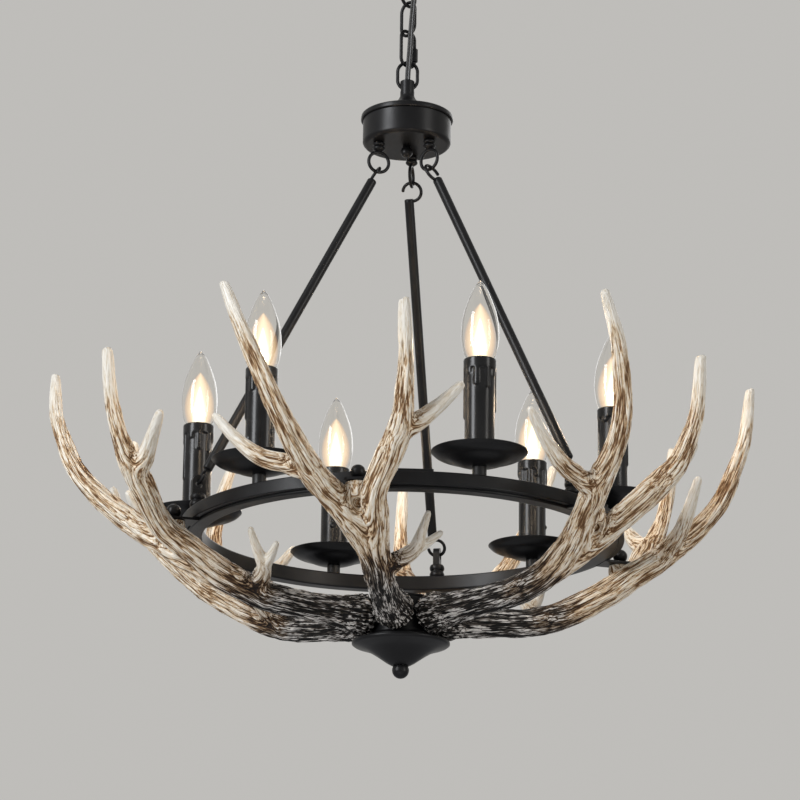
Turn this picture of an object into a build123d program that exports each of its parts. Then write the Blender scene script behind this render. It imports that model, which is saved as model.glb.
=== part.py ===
from build123d import *
from itertools import pairwise
from math import asin, atan2, cos, degrees, pi, radians, sin, tan
import os

# Ring chandelier: six antler castings and six candle lights on a steel ring, which three rods
# carry from a cup on a short chain. Z is up, and the origin is on the ceiling, over the ring's
# middle. Angles run from +X, counter-clockwise seen from above. Sizes are in millimetres.

# Ceiling plate, its bar and its loop
canopy_diameter = 120
canopy_shoulder_diameter = 112.8
canopy_face_diameter = 84
canopy_height = 25
canopy_shoulder_height = 7.5
sheet = 1.5
bar_length = 104
bar_width = 16
bar_thickness = 2.5
mount_spacing = 88.9
mount_slot_width = 5
mount_slot_length = 12
nipple_diameter = 9.5
nipple_clearance = 0.15
nipple_recess = 0.5
lock_nut_flats = 16
lock_nut_height = 5
collar_diameter = 16
collar_height = 6
collar_bevel = 1
loop_diameter = 26
loop_wire = 5
loop_angle = -45
bushing_hole = 11.6
bushing_wall = 1
bushing_lip = 0.8

# Chain
link_wire = 3.4
link_gap = 0.3
link_length = 38.5
link_width = 22
quick_length = 40
quick_corner = 7
quick_nut_diameter = 7
quick_nut_length = 14
quick_gate = 7
quick_gate_rise = 8.4
thread_gap = 0.15
lower_link_length = 32
lower_link_width = 23

# Twin cord, which ends in the cup's neck below and behind the ceiling plate above. The points
# are (x, y, height over the lower link's bottom wire).
cord_width = 5.3
cord_thickness = 2.7
cord_points = [
    (0, -3.35, -5.2),
    (0, -3.35, 10.8),
    (1, -6, 24.8),
    (2.2, -10.5, 40.8),
    (3, -12.5, 60.8),
    (4.5, -12.5, 80.8),
    (6, -13, 98.8),
    (6, -15, 115.8),
    (5, -16, 135.8),
    (5, -16, 157.8),
]

# Cup: its neck hangs on the lower link's wire, hang_height over the ring's top
hang_height = 449.2
neck_diameter = 14.2
neck_wall = 1
neck_land = 2.1
neck_rise = 25
slot_width = 4.8
slot_height = 8.9
slot_drop = 2.7
cup_diameter = 87
cup_height = 26
cup_edge = 4
lid_diameter = 91
lid_height = 42.5
lid_lip = 3.5
lid_roll = 2
lid_roll_inset = 1.5
# Places on the lid's slope: height over the cup's rim, and diameter
lid_slope = ((10, 60), (15.5, 36))

# Ring
ring_inner = 190
tube_width = 14.8
tube_height = 14.6
hoop_thickness = 6
hoop_height = 12.4
hoop_gap = 0.2
splice_length = 32
splice_width = 12
splice_thickness = 2.5
splice_angle = -86.7

# Rods, their hooks and the eyes that the hooks hold
rod_angles = (-160, -40, 80)
rod_diameter = 9.5
rod_offset = 3.5
rod_inset = 7
hook_wire = 3.2
hook_sweep = 292
hook_gap = 0.3
upper_hook_diameter = 21.5
lower_hook_diameter = 19.5
lower_hook_height = 23.5
bead_count = 2
cup_eye_radius = 29
cup_eye_drop = 20.7
cup_eye_diameter = 24
cup_eye_wire = 3.3
cup_bead_diameter = 12
cup_bead_waist = 8.4
cup_bead_height = 4.35
cup_bead_tip = 1
cup_bead_tip_diameter = 6
ring_eye_inset = 13
ring_bead_diameter = 15
ring_bead_waist = 12.45
ring_bead_height = 6.9
lug_thickness = 6.5
lug_width = 13
lug_hole_height = 22.5
lug_hole_diameter = 7.4
lug_round_rise = 2.4

# Lights
light_count = 6
light_angle = -70
light_inset = 12
spacer_diameter = 13
spacer_height = 9.5
stem_diameter = 10
dish_diameter = 88
dish_height = 14.5
dish_bowl_diameter = 58
dish_bowl_height = 6.5
dish_wall = 1
sleeve_diameter = 27.5
sleeve_wall = 1.3
sleeve_top = 110
sleeve_lip_diameter = 30
sleeve_lip_height = 12
sleeve_lip_bevel = 2.4
socket_diameter = 23
socket_low = 60
socket_top = 106
screw_diameter = 11.9
screw_length = 17
screw_gap = 0.15
contact_diameter = 6
contact_height = 1.5
bulb_diameter = 35
bulb_length = 80
bulb_neck = 18
bulb_seat = 0.3
# The glass from its neck to its tip: share of the length, and share of the largest radius
bulb_shape = ((0.16, 0.89), (0.34, 1), (0.58, 0.87), (0.82, 0.49), (1, 0.07))

# Antlers, their tabs and nuts
antler_angle = -100
nut_outset = 15
tab_width = 23
tab_end = 11
tab_thickness = 2.2
nut_diameter = 14
stud_diameter = 4.4
stud_length = 16
stud_root = 1
stud_gap = 0.3
boss_diameter = 23
boss_height = 27.1
seat_gap = 0.3

# Hub
hub_middle = -87
spool_rise = 18.6
spool_drop = 23
spool_waist = 58
spool_flange = 1
spool_flange_thickness = 2
spool_low_flange = 9
spool_low_flange_thickness = 3
cone_diameter = 92.6
cone_height = 22.8
cone_rim = 2.5
cone_end_diameter = 17
# Places on the cone's slope: height over its lower end, and diameter
cone_slope = ((10.2, 48), (17.3, 78))
bolt_diameter = 6
bolt_gap = 0.15
bolt_end = 3
bolt_head_flats = 12
bolt_head_height = 5
finial_diameter = 16
finial_drop = 4.2

# Flats on a round form: the ring, large turnings, dishes, small ones, studs, wire and branches
ring_sides = 48
large_sides = 20
dish_sides = 16
small_sides = 12
stud_sides = 8
wire_sides = 6
branch_sides = 6
wire_turn = 22.5
ball_bands = 4
ball_pole = 75


def turning(steps, sides, base=Plane.XY, mode=Mode.ADD):
    """Adds a turned form with flat sides, from (height, radius) steps going up from a plane."""
    for (low, low_radius), (high, high_radius) in pairwise(steps):
        if high > low:
            with BuildSketch(base.offset(low)) as wide_end:
                RegularPolygon(max(low_radius, high_radius), sides)
            slope = degrees(atan2(abs(low_radius - high_radius) * cos(pi / sides), high - low))
            band = extrude(wide_end.sketch, amount=high - low, taper=slope, mode=Mode.PRIVATE)
            if high_radius > low_radius:
                band = mirror(band, about=base.offset((low + high) / 2), mode=Mode.PRIVATE)
            add(band, mode=mode)


def stations(path):
    """Lists the places along a path where a bent wire gets a section: line ends and arc steps."""
    places = [0]
    for edge in path.edges():
        turn = degrees(edge.length / edge.radius) if edge.geom_type == GeomType.CIRCLE else 0
        steps = max(1, round(turn / wire_turn))
        start = places[-1]
        places += [start + edge.length * (step + 1) / steps for step in range(steps)]
    return [place / places[-1] for place in places]


def section_corners(plane, radius, sides):
    """Lists the corners of a regular section on a plane."""
    turns = [2 * pi * corner / sides for corner in range(sides)]
    return [plane.from_local_coords((radius * cos(turn), radius * sin(turn), 0)) for turn in turns]


def flat_loft(sections):
    """Adds a loft through sections of as many corners each, with flat three-sided facets."""
    faces = [Face(Wire.make_polygon(sections[0])), Face(Wire.make_polygon(sections[-1]))]
    for low, high in pairwise(sections):
        for corner in range(len(low)):
            beside = (corner + 1) % len(low)
            faces.append(Face(Wire.make_polygon([low[corner], low[beside], high[beside]])))
            faces.append(Face(Wire.make_polygon([low[corner], high[beside], high[corner]])))
    add(Solid(Shell(faces)))


def bent_wire(path, diameter, normal):
    """Adds wire of flat-sided section along a path of lines and arcs in one plane."""
    planes = [Plane(origin=path @ place, x_dir=normal, z_dir=path % place) for place in stations(path)]
    flat_loft([section_corners(plane, diameter / 2, wire_sides) for plane in planes])


def link_plane(angle, height):
    """Gives the upright plane of a link that is turned by an angle about the chain's line."""
    across = (cos(radians(angle)), sin(radians(angle)), 0)
    return Plane(origin=(0, 0, height), x_dir=across, z_dir=(across[1], -across[0], 0))


def link(plane, length, width, corner):
    """Adds a closed wire link as two halves, from its centre line's length, width and corner."""
    flat = width / 2 - corner
    for side in (1, -1):
        with BuildLine(plane) as half:
            if flat > 0.01:
                Line((0, length / 2), (side * flat, length / 2))
            JernArc((side * flat, length / 2), (side, 0), corner, -90 * side)
            Line((side * width / 2, length / 2 - corner), (side * width / 2, corner - length / 2))
            JernArc((side * width / 2, corner - length / 2), (0, -1), corner, -90 * side)
            if flat > 0.01:
                Line((side * flat, -length / 2), (0, -length / 2))
        bent_wire(half.wire(), link_wire, plane.z_dir)


def ring_of_wire(plane, diameter, wire):
    """Adds a closed ring of wire of the given outer diameter as two halves."""
    for start in (0, 180):
        with BuildLine(plane) as half:
            CenterArc((0, 0), (diameter - wire) / 2, start, 180)
        bent_wire(half.wire(), wire, plane.z_dir)


def bore(low, high, diameter, base=Plane.XY, sides=small_sides):
    """Cuts a straight hole with flat sides between two heights over a plane."""
    turning([(low, diameter / 2), (high, diameter / 2)], sides, base, Mode.SUBTRACT)


def ball(middle, diameter, top=ball_pole):
    """Lists the steps of a ball nut, from the flat at its lower pole to a flat at a top latitude."""
    turns = [radians(-ball_pole + (top + ball_pole) * step / ball_bands) for step in range(ball_bands + 1)]
    return [(middle + diameter / 2 * sin(turn), diameter / 2 * cos(turn)) for turn in turns]


def beads(low, height, diameter, waist):
    """Lists the steps of a stack of turned beads, from its lower end up."""
    steps = [(low, waist / 2)]
    for bead in range(bead_count):
        steps.append((low + (bead + 0.5) * height, diameter / 2))
        steps.append((low + (bead + 1) * height, waist / 2))
    return steps


def save(part, label):
    """Names a finished piece and writes it to a file of its own."""
    part.label = label
    export_step(part, f"parts/{label}.step")


os.makedirs("parts", exist_ok=True)

# Heights down the chain: each link's upper wire lies on the wire above it, less a small gap
canopy_low = -canopy_height
collar_low = canopy_low - collar_height
loop_middle = collar_low - (loop_diameter - loop_wire) / 2
loop_low = loop_middle - (loop_diameter - loop_wire) / 2
wire_step = link_wire + link_gap
upper_link_high = loop_low + (loop_wire + link_wire) / 2 + link_gap
upper_link_low = upper_link_high - (link_length - link_wire)
middle_link_high = upper_link_low + wire_step
middle_link_low = middle_link_high - (link_length - link_wire)
quick_high = middle_link_low + wire_step
quick_low = quick_high - (quick_length - link_wire)
lower_link_high = quick_low + wire_step
lower_link_low = lower_link_high - (lower_link_length - link_wire)
ring_top = lower_link_low - hang_height
ring_plane = Plane.XY.offset(ring_top)

# Heights of the cup, which are over the ring's top, as all that follow
slot_low = hang_height - slot_drop
slot_high = slot_low + slot_height
neck_top = slot_high + neck_land
cup_rim = neck_top - lid_height
cup_floor = cup_rim - cup_height

# Radii on the ring
tube_outer = ring_inner + tube_width
hoop_inner = tube_outer + hoop_gap
hoop_outer = hoop_inner + hoop_thickness
light_radius = ring_inner + light_inset
ring_eye_radius = ring_inner + ring_eye_inset
nut_radius = hoop_outer + nut_outset

# Ceiling plate: a pressed shell, open at the ceiling
bushing_place = cord_points[-1][:2]
with BuildPart() as canopy_shell:
    outside = [
        (-canopy_height, canopy_face_diameter / 2),
        (canopy_shoulder_height - canopy_height, canopy_shoulder_diameter / 2),
        (0, canopy_diameter / 2),
    ]
    turning(outside, large_sides)
    inside = [(min(height + sheet, 0), radius - sheet) for height, radius in outside]
    turning(inside, large_sides, mode=Mode.SUBTRACT)
    bore(canopy_low, canopy_low + sheet, nipple_diameter + 2 * nipple_clearance)
    with BuildSketch(Plane.XY.offset(canopy_low)):
        with Locations(bushing_place):
            RegularPolygon(bushing_hole / 2 + bushing_wall + nipple_clearance, small_sides)
    extrude(amount=sheet, mode=Mode.SUBTRACT)
save(canopy_shell.part, "canopy_shell")

with BuildPart() as crossbar:
    with BuildSketch(Plane.XY.offset(-bar_thickness)):
        Rectangle(bar_length, bar_width)
        with GridLocations(mount_spacing, 0, 2, 1):
            SlotOverall(mount_slot_length, mount_slot_width, mode=Mode.SUBTRACT)
    extrude(amount=bar_thickness)
    bore(-bar_thickness, 0, nipple_diameter + 2 * nipple_clearance)
save(crossbar.part, "crossbar")

lock_nut_low = -bar_thickness - lock_nut_height
with BuildPart() as canopy_nut:
    with BuildSketch(Plane.XY.offset(lock_nut_low)):
        RegularPolygon(lock_nut_flats / 2, 6, major_radius=False)
    extrude(amount=lock_nut_height)
    bore(lock_nut_low, -bar_thickness, nipple_diameter + 2 * nipple_clearance)
save(canopy_nut.part, "canopy_nut")

with BuildPart() as canopy_loop:
    turning([(collar_low - collar_bevel, collar_diameter / 2 - collar_bevel), (collar_low, collar_diameter / 2),
             (canopy_low, collar_diameter / 2)], small_sides)
    turning([(canopy_low, nipple_diameter / 2), (-nipple_recess, nipple_diameter / 2)], small_sides)
    ring_of_wire(link_plane(loop_angle, loop_middle), loop_diameter, loop_wire)
save(canopy_loop.part, "canopy_loop")

with BuildPart() as cord_bushing:
    with BuildSketch(Plane.XY.offset(canopy_low - bushing_lip)):
        with Locations(bushing_place):
            RegularPolygon(bushing_hole / 2 + bushing_wall + bushing_lip, small_sides)
            RegularPolygon(bushing_hole / 2, small_sides, mode=Mode.SUBTRACT)
    extrude(amount=bushing_lip)
    with BuildSketch(Plane.XY.offset(canopy_low)):
        with Locations(bushing_place):
            RegularPolygon(bushing_hole / 2 + bushing_wall, small_sides)
            RegularPolygon(bushing_hole / 2, small_sides, mode=Mode.SUBTRACT)
    extrude(amount=sheet + bushing_lip)
save(cord_bushing.part, "cord_bushing")

# Chain: two plain links, the quick link with its open gate, and the link that holds the neck
quick_angle = loop_angle + 90
quick_strand = (link_width - link_wire) / 2
with BuildPart() as chain_links:
    centre_length = link_length - link_wire
    round_end = (link_width - link_wire) / 2
    for angle, high in ((quick_angle, upper_link_high), (loop_angle, middle_link_high)):
        link(link_plane(angle, high - centre_length / 2), centre_length, 2 * round_end, round_end)
    quick_plane = link_plane(quick_angle, (quick_high + quick_low) / 2)
    link(quick_plane, quick_length - link_wire, 2 * quick_strand, quick_corner)
    with BuildSketch(link_plane(quick_angle, quick_low + quick_gate_rise + quick_gate / 2)):
        with Locations((quick_strand, 0)):
            Rectangle(2 * link_wire, quick_gate)
    extrude(amount=link_wire, both=True, mode=Mode.SUBTRACT)
    lower_end = (lower_link_width - link_wire) / 2
    lower_middle = (lower_link_high + lower_link_low) / 2
    link(link_plane(0, lower_middle), lower_link_length - link_wire, 2 * lower_end, lower_end)
save(chain_links.part, "chain_links")

with BuildPart() as quick_link_nut:
    strand_place = (quick_strand * cos(radians(quick_angle)), quick_strand * sin(radians(quick_angle)))
    with BuildSketch(Plane.XY.offset(quick_low + quick_corner)):
        with Locations(strand_place):
            RegularPolygon(quick_nut_diameter / 2, 6)
            RegularPolygon(link_wire / 2 + thread_gap, stud_sides, major_radius=False, mode=Mode.SUBTRACT)
    extrude(amount=quick_nut_length)
save(quick_link_nut.part, "quick_link_nut")

# Cord: straight runs joined by arcs as wide as the runs allow
cord_route = [Vector(x, y, lower_link_low + rise) for x, y, rise in cord_points]
cord_radii = []
for before, corner, after in zip(cord_route, cord_route[1:], cord_route[2:]):
    shorter = min((corner - before).length, (after - corner).length)
    half_turn = radians((corner - before).get_angle(after - corner)) / 2
    cord_radii.append(0.45 * shorter / tan(half_turn))
print("cord radii", [round(radius) for radius in cord_radii])
with BuildPart() as power_cord:
    with BuildLine() as cord_line:
        FilletPolyline(*cord_route, radius=cord_radii)
    cord_start = Plane(origin=cord_line.line @ 0, x_dir=(1, 0, 0), z_dir=cord_line.line % 0)
    with BuildSketch(cord_start) as section:
        Rectangle(cord_width, cord_thickness)
        chamfer(section.vertices(), cord_thickness / 4)
    sweep(path=cord_line.line)
cord_section = cord_width * cord_thickness - 2 * (cord_thickness / 4) ** 2
cord_length = cord_line.wire().length
print("cord length", round(cord_length, 1), "volume against section times length",
      round(power_cord.part.volume / (cord_section * cord_length), 4))
save(power_cord.part, "power_cord")

# Cup: a spun lid with a slotted neck over a drum that is open at the top
cup_radius = cup_diameter / 2
lid_radius = lid_diameter / 2
neck_low = cup_rim + neck_rise
neck_bore = neck_diameter / 2 - neck_wall
with BuildPart() as cup_lid:
    outside = [
        (cup_rim, lid_radius),
        (cup_rim + lid_lip, lid_radius),
        (cup_rim + lid_lip + lid_roll, lid_radius - lid_roll_inset),
        *[(cup_rim + rise, diameter / 2) for rise, diameter in lid_slope],
        (neck_low, neck_diameter / 2),
        (neck_top, neck_diameter / 2),
    ]
    turning(outside, large_sides, ring_plane)
    inside = [
        (cup_rim, cup_radius - sheet),
        (cup_rim + lid_lip, cup_radius - sheet),
        *[(cup_rim + rise - sheet, diameter / 2 - neck_wall) for rise, diameter in lid_slope],
        (neck_low - sheet, neck_bore),
        (neck_top, neck_bore),
    ]
    turning(inside, large_sides, ring_plane, mode=Mode.SUBTRACT)
    with BuildSketch(Plane.YZ):
        with Locations((0, ring_top + (slot_low + slot_high) / 2)):
            Rectangle(slot_width, slot_height)
    extrude(amount=neck_diameter, both=True, mode=Mode.SUBTRACT)
save(cup_lid.part, "cup_lid")

with BuildPart() as cup_body:
    outside = [
        (cup_floor, cup_radius - cup_edge),
        (cup_floor + cup_edge / 2, cup_radius),
        (cup_rim, cup_radius),
    ]
    turning(outside, large_sides, ring_plane)
    inside = [
        (cup_floor + sheet, cup_radius - cup_edge),
        (cup_floor + cup_edge, cup_radius - sheet),
        (cup_rim, cup_radius - sheet),
    ]
    turning(inside, large_sides, ring_plane, mode=Mode.SUBTRACT)
    with BuildSketch(ring_plane.offset(cup_floor)):
        with PolarLocations(cup_eye_radius, len(rod_angles), start_angle=rod_angles[0]):
            RegularPolygon(stud_diameter / 2 + thread_gap, stud_sides)
    extrude(amount=sheet, mode=Mode.SUBTRACT)
    bore(cup_floor, cup_floor + sheet, stud_diameter + 2 * thread_gap, ring_plane, stud_sides)
save(cup_body.part, "cup_body")

# Eyes: beaded eye bolts under the cup, and beaded lugs on the ring
cup_eye_height = cup_floor - cup_eye_drop
with BuildPart() as cup_eye:
    bead_low = cup_floor - bead_count * cup_bead_height
    tip = (bead_low - cup_bead_tip, cup_bead_tip_diameter / 2)
    turning([tip, *beads(bead_low, cup_bead_height, cup_bead_diameter, cup_bead_waist)], stud_sides)
    turning([(cup_floor, stud_diameter / 2), (cup_floor + 2 * sheet, stud_diameter / 2)], stud_sides)
    ring_of_wire(link_plane(0, cup_eye_height), cup_eye_diameter, cup_eye_wire)

with BuildPart() as ring_eye:
    turning(beads(0, ring_bead_height, ring_bead_diameter, ring_bead_waist), small_sides)
    lug_round = lug_hole_height + lug_round_rise
    with BuildSketch(Plane.XZ):
        with Locations((0, (lug_round + ring_bead_height) / 2)):
            Rectangle(lug_width, lug_round - ring_bead_height)
        with Locations((0, lug_round)):
            RegularPolygon(lug_width / 2, small_sides)
        with Locations((0, lug_hole_height)):
            RegularPolygon(lug_hole_diameter / 2, small_sides, major_radius=False, mode=Mode.SUBTRACT)
    extrude(amount=lug_thickness / 2, both=True)

with BuildPart(ring_plane) as rod_eyes:
    with PolarLocations(cup_eye_radius, len(rod_angles), start_angle=rod_angles[0]):
        add(cup_eye.part)
    with PolarLocations(ring_eye_radius, len(rod_angles), start_angle=rod_angles[0]):
        add(ring_eye.part)
save(rod_eyes.part, "rod_eyes")

# Rods: a tube with a bent hook at each end, from the cup's eye down to the ring's lug
upper_hook = (upper_hook_diameter - hook_wire) / 2
lower_hook = (lower_hook_diameter - hook_wire) / 2
upper_hook_height = cup_eye_height - (cup_eye_diameter - hook_wire) / 2 + cup_eye_wire + hook_gap
rod_top = Vector(cup_eye_radius, 0, upper_hook_height)
rod_foot = Vector(ring_eye_radius, 0, lower_hook_height)
rod_up = (rod_top - rod_foot).normalized()
rod_face = Vector(0, 1, 0).cross(rod_up)
upper_plane = Plane(origin=rod_top - rod_up * upper_hook, x_dir=(0, 1, 0), z_dir=rod_face)
lower_plane = Plane(origin=rod_foot + rod_up * lower_hook, x_dir=(0, 1, 0), z_dir=rod_face)
with BuildPart() as rod:
    with BuildLine(upper_plane) as upper_bend:
        CenterArc((0, 0), upper_hook, 0, hook_sweep)
    bent_wire(upper_bend.wire(), hook_wire, rod_face)
    with BuildLine(lower_plane) as lower_bend:
        CenterArc((0, 0), lower_hook, 0, -hook_sweep)
    bent_wire(lower_bend.wire(), hook_wire, rod_face)
    tube_length = (upper_plane.origin - lower_plane.origin).length - 2 * rod_inset
    tube_foot = lower_plane.origin + rod_up * rod_inset + Vector(0, rod_offset, 0)
    with BuildSketch(Plane(origin=tube_foot, x_dir=(0, 1, 0), z_dir=rod_up)):
        RegularPolygon(rod_diameter / 2, small_sides)
    extrude(amount=tube_length)

for number, angle in enumerate(rod_angles, 1):
    with BuildPart() as placed_rod:
        with Locations(Location((0, 0, ring_top), (0, 0, angle))):
            add(rod.part)
    save(placed_rod.part, f"rod_{number}")

# Ring: a square tube with a flat hoop round it, a splice plate and six tabs for the antlers
with BuildPart() as ring_tube:
    with BuildSketch(ring_plane.offset(-tube_height)):
        RegularPolygon(tube_outer, ring_sides)
        RegularPolygon(ring_inner, ring_sides, mode=Mode.SUBTRACT)
    extrude(amount=tube_height)
save(ring_tube.part, "ring_tube")

with BuildPart() as ring_hoop:
    with BuildSketch(ring_plane.offset(-hoop_height)):
        RegularPolygon(hoop_outer, ring_sides)
        RegularPolygon(hoop_inner, ring_sides, mode=Mode.SUBTRACT)
    extrude(amount=hoop_height)
save(ring_hoop.part, "ring_hoop")

with BuildPart() as tab:
    tab_length = nut_radius + tab_end - hoop_inner
    with BuildSketch(Plane.XY.offset(-hoop_height - tab_thickness)) as tab_outline:
        with Locations((hoop_inner + tab_length / 2, 0)):
            Rectangle(tab_length, tab_width)
        chamfer(tab_outline.vertices().group_by(Axis.X)[-1], tab_width / 4)
        with Locations((nut_radius, 0)):
            RegularPolygon(stud_diameter / 2 + stud_gap, stud_sides, mode=Mode.SUBTRACT)
    extrude(amount=tab_thickness)

with BuildPart(ring_plane) as ring_tabs:
    with PolarLocations(0, light_count, start_angle=antler_angle):
        add(tab.part)
save(ring_tabs.part, "ring_tabs")

with BuildPart() as plate:
    with BuildSketch():
        with Locations((ring_eye_radius, 0)):
            Rectangle(splice_width, splice_length)
    extrude(amount=splice_thickness)

with BuildPart(ring_plane) as splice_plate:
    with PolarLocations(0, 1, start_angle=splice_angle):
        add(plate.part)
save(splice_plate.part, "splice_plate")

# Lights: each has a stem with a socket, a drip dish, a candle sleeve and a bulb
spacer_radius = spacer_diameter / 2
stem_radius = stem_diameter / 2
socket_radius = socket_diameter / 2
dish_radius = dish_diameter / 2
bowl_radius = dish_bowl_diameter / 2
sleeve_radius = sleeve_diameter / 2
lip_radius = sleeve_lip_diameter / 2
bowl_slope = dish_bowl_height / (bowl_radius - spacer_radius)
sleeve_low = spacer_height + dish_wall + seat_gap + bowl_slope * (sleeve_radius - spacer_radius)
glass_low = socket_top + bulb_seat
screw_low = glass_low - screw_length
contact_low = screw_low - contact_height
with BuildPart() as lampholder:
    turning([(0, spacer_radius), (spacer_height, spacer_radius)], small_sides)
    turning([(spacer_height, stem_radius), (socket_low, stem_radius)], small_sides)
    turning([(socket_low, socket_radius), (socket_top, socket_radius)], small_sides)
    bore(contact_low - bulb_seat, socket_top, screw_diameter + 2 * screw_gap)

with BuildPart() as drip_dish:
    bowl_high = spacer_height + dish_bowl_height
    dish_high = spacer_height + dish_height
    turning([(spacer_height, spacer_radius), (bowl_high, bowl_radius), (dish_high, dish_radius)], dish_sides)
    inside = [(spacer_height + dish_wall, spacer_radius), (bowl_high + dish_wall, bowl_radius),
              (dish_high, dish_radius - dish_wall)]
    turning(inside, dish_sides, mode=Mode.SUBTRACT)
    bore(spacer_height, spacer_height + dish_wall, stem_diameter + 2 * stud_gap)

with BuildPart() as candle_sleeve:
    lip_low = sleeve_top - sleeve_lip_height
    turning([(sleeve_low, sleeve_radius), (lip_low, sleeve_radius), (lip_low + sleeve_lip_bevel, lip_radius),
             (sleeve_top, lip_radius)], small_sides)
    bore(sleeve_low, sleeve_top, sleeve_diameter - 2 * sleeve_wall)

with BuildPart() as bulb_base:
    turning([(contact_low, contact_diameter / 2), (screw_low, contact_diameter / 2)], stud_sides)
    turning([(screw_low, screw_diameter / 2), (glass_low, screw_diameter / 2)], small_sides)

with BuildPart() as bulb_glass:
    belly = [(glass_low + bulb_length * height, bulb_diameter / 2 * width) for height, width in bulb_shape]
    turning([(glass_low, bulb_neck / 2), *belly], small_sides)

for piece, label in ((lampholder, "lampholders"), (drip_dish, "drip_dishes"), (candle_sleeve, "candle_sleeves")):
    with BuildPart(ring_plane) as six:
        with PolarLocations(light_radius, light_count, start_angle=light_angle):
            add(piece.part)
    save(six.part, label)

for number in range(light_count):
    with BuildPart(ring_plane) as placed_base:
        with PolarLocations(light_radius, 1, start_angle=light_angle + number * 360 / light_count):
            add(bulb_base.part)
    save(placed_base.part, f"bulb_base_{number + 1}")
    with BuildPart(ring_plane) as placed_glass:
        with PolarLocations(light_radius, 1, start_angle=light_angle + number * 360 / light_count):
            add(bulb_glass.part)
    save(placed_glass.part, f"bulb_glass_{number + 1}")

# Antlers: one casting, drawn along +X. A knot is (outward, sideways, height, radius). The burr's
# knots go out from the hub's spool, at heights over the hub's middle, and the others from the nut.
burr = ((0, 0, 0, 15), (8.7, 0, 0, 19.5), (22.7, 0, 0, 19), (32.7, 0, 0.5, 15.5))
left_branch = ((-138, 0, -86, 14.5), (-86, -12, -80, 14.5), (-11, -20, -42, 13), (29, -35, -12, 13),
               (74, -57, 33, 9.5), (93, -84, 94, 7.3), (92, -103, 141, 4.8), (92, -104.5, 146.5, 1.6))
left_tine = ((29, -35, -12, 11), (28, -80, 3, 8.3), (26, -123, 42, 4), (26, -125, 47, 1.6))
right_branch = ((-116, 2, -80, 13), (-76, 5, -73, 14.2), (-11, 13, -42, 12), (18, 19, -25, 11),
                (49, 45, 14, 12.5), (60, 51, 31, 10), (77, 55.5, 73, 7), (83, 54.6, 122, 5.3),
                (83.5, 54.4, 127, 1.8))
right_tine = ((49, 45, 14, 10.5), (46, 70, 33, 7.8), (44, 97, 57, 4.2), (44, 101, 61, 1.6))
long_brow = ((-80, 10, -73, 11), (-78, 37, -59, 7.3), (-59, 53.5, -29, 3), (-58, 54.5, -27, 1.5))
short_brow = ((-78, 34, -60.5, 6.5), (-81.5, 61.5, -42, 2.7), (-82, 63.5, -40, 1.4))

spool_face = spool_waist / 2 + seat_gap
tab_low = -hoop_height - tab_thickness
boss_top = tab_low - seat_gap
with BuildPart() as casting:
    for branch in (left_branch, left_tine, right_branch, right_tine, long_brow, short_brow):
        knots = [(nut_radius + out, side, height, radius) for out, side, height, radius in branch]
        if branch is left_branch:
            foot = [(spool_face + out, side, hub_middle + rise, radius) for out, side, rise, radius in burr]
            knots = foot + knots
        centres = [Vector(*knot[:3]) for knot in knots]
        runs = [(after - before).normalized() for before, after in pairwise(centres)]
        sections = []
        for centre, knot, before, after in zip(centres, knots, runs[:1] + runs, runs + runs[-1:]):
            across = Vector(0, 1, 0).cross(before + after)
            plane = Plane(origin=centre, x_dir=across, z_dir=before + after)
            sections.append(section_corners(plane, knot[3], branch_sides))
        flat_loft(sections)
    with BuildSketch(Plane.XY.offset(boss_top - boss_height)):
        with Locations((nut_radius, 0)):
            RegularPolygon(boss_diameter / 2, small_sides)
    extrude(amount=boss_height)
    with BuildSketch(Plane.XY.offset(boss_top - stud_length)):
        with Locations((nut_radius, 0)):
            RegularPolygon(stud_diameter / 2 + stud_gap, stud_sides)
    extrude(amount=stud_length, mode=Mode.SUBTRACT)

for number in range(light_count):
    with BuildPart() as antler:
        with Locations(Location((0, 0, ring_top), (0, 0, antler_angle + number * 360 / light_count))):
            add(casting.part)
    save(antler.part, f"antler_{number + 1}")

# Hub: a spool that the castings stand against, a cone under it and a bolt through both
spool_top = hub_middle + spool_rise
spool_low = hub_middle - spool_drop
waist_radius = spool_waist / 2
hub_bore = bolt_diameter + 2 * bolt_gap
with BuildPart() as hub_spool:
    top_radius = waist_radius + spool_flange
    low_radius = waist_radius + spool_low_flange
    turning([(spool_low, waist_radius), (spool_top, waist_radius)], large_sides, ring_plane)
    turning([(spool_top - spool_flange_thickness, top_radius), (spool_top, top_radius)], large_sides, ring_plane)
    low_flange_top = spool_low + spool_low_flange_thickness
    turning([(spool_low, low_radius), (low_flange_top, low_radius)], large_sides, ring_plane)
    bore(spool_low, spool_top, hub_bore, ring_plane)
save(hub_spool.part, "hub_spool")

cone_low = spool_low - cone_height
with BuildPart() as hub_cone:
    outside = [
        (cone_low, cone_end_diameter / 2),
        *[(cone_low + rise, diameter / 2) for rise, diameter in cone_slope],
        (spool_low - cone_rim, cone_diameter / 2),
        (spool_low, cone_diameter / 2),
    ]
    turning(outside, large_sides, ring_plane)
    bore(cone_low, spool_low, hub_bore, ring_plane)
save(hub_cone.part, "hub_cone")

finial_middle = cone_low - finial_drop
bolt_low = finial_middle - bolt_end
with BuildPart() as hub_bolt:
    with BuildSketch(ring_plane.offset(spool_top)):
        RegularPolygon(bolt_head_flats / 2, 6, major_radius=False)
    extrude(amount=bolt_head_height)
    turning([(bolt_low, bolt_diameter / 2), (spool_top, bolt_diameter / 2)], small_sides, ring_plane)
save(hub_bolt.part, "hub_bolt")

# Ball nuts with studs: one on each tab, one under the cup and one under the hub
with BuildPart() as antler_nut:
    tab_top = -hoop_height
    turning(ball(tab_top + nut_diameter / 2, nut_diameter), small_sides)
    turning([(tab_top + stud_root - stud_length, stud_diameter / 2), (tab_top + stud_root, stud_diameter / 2)],
            stud_sides)

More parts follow.
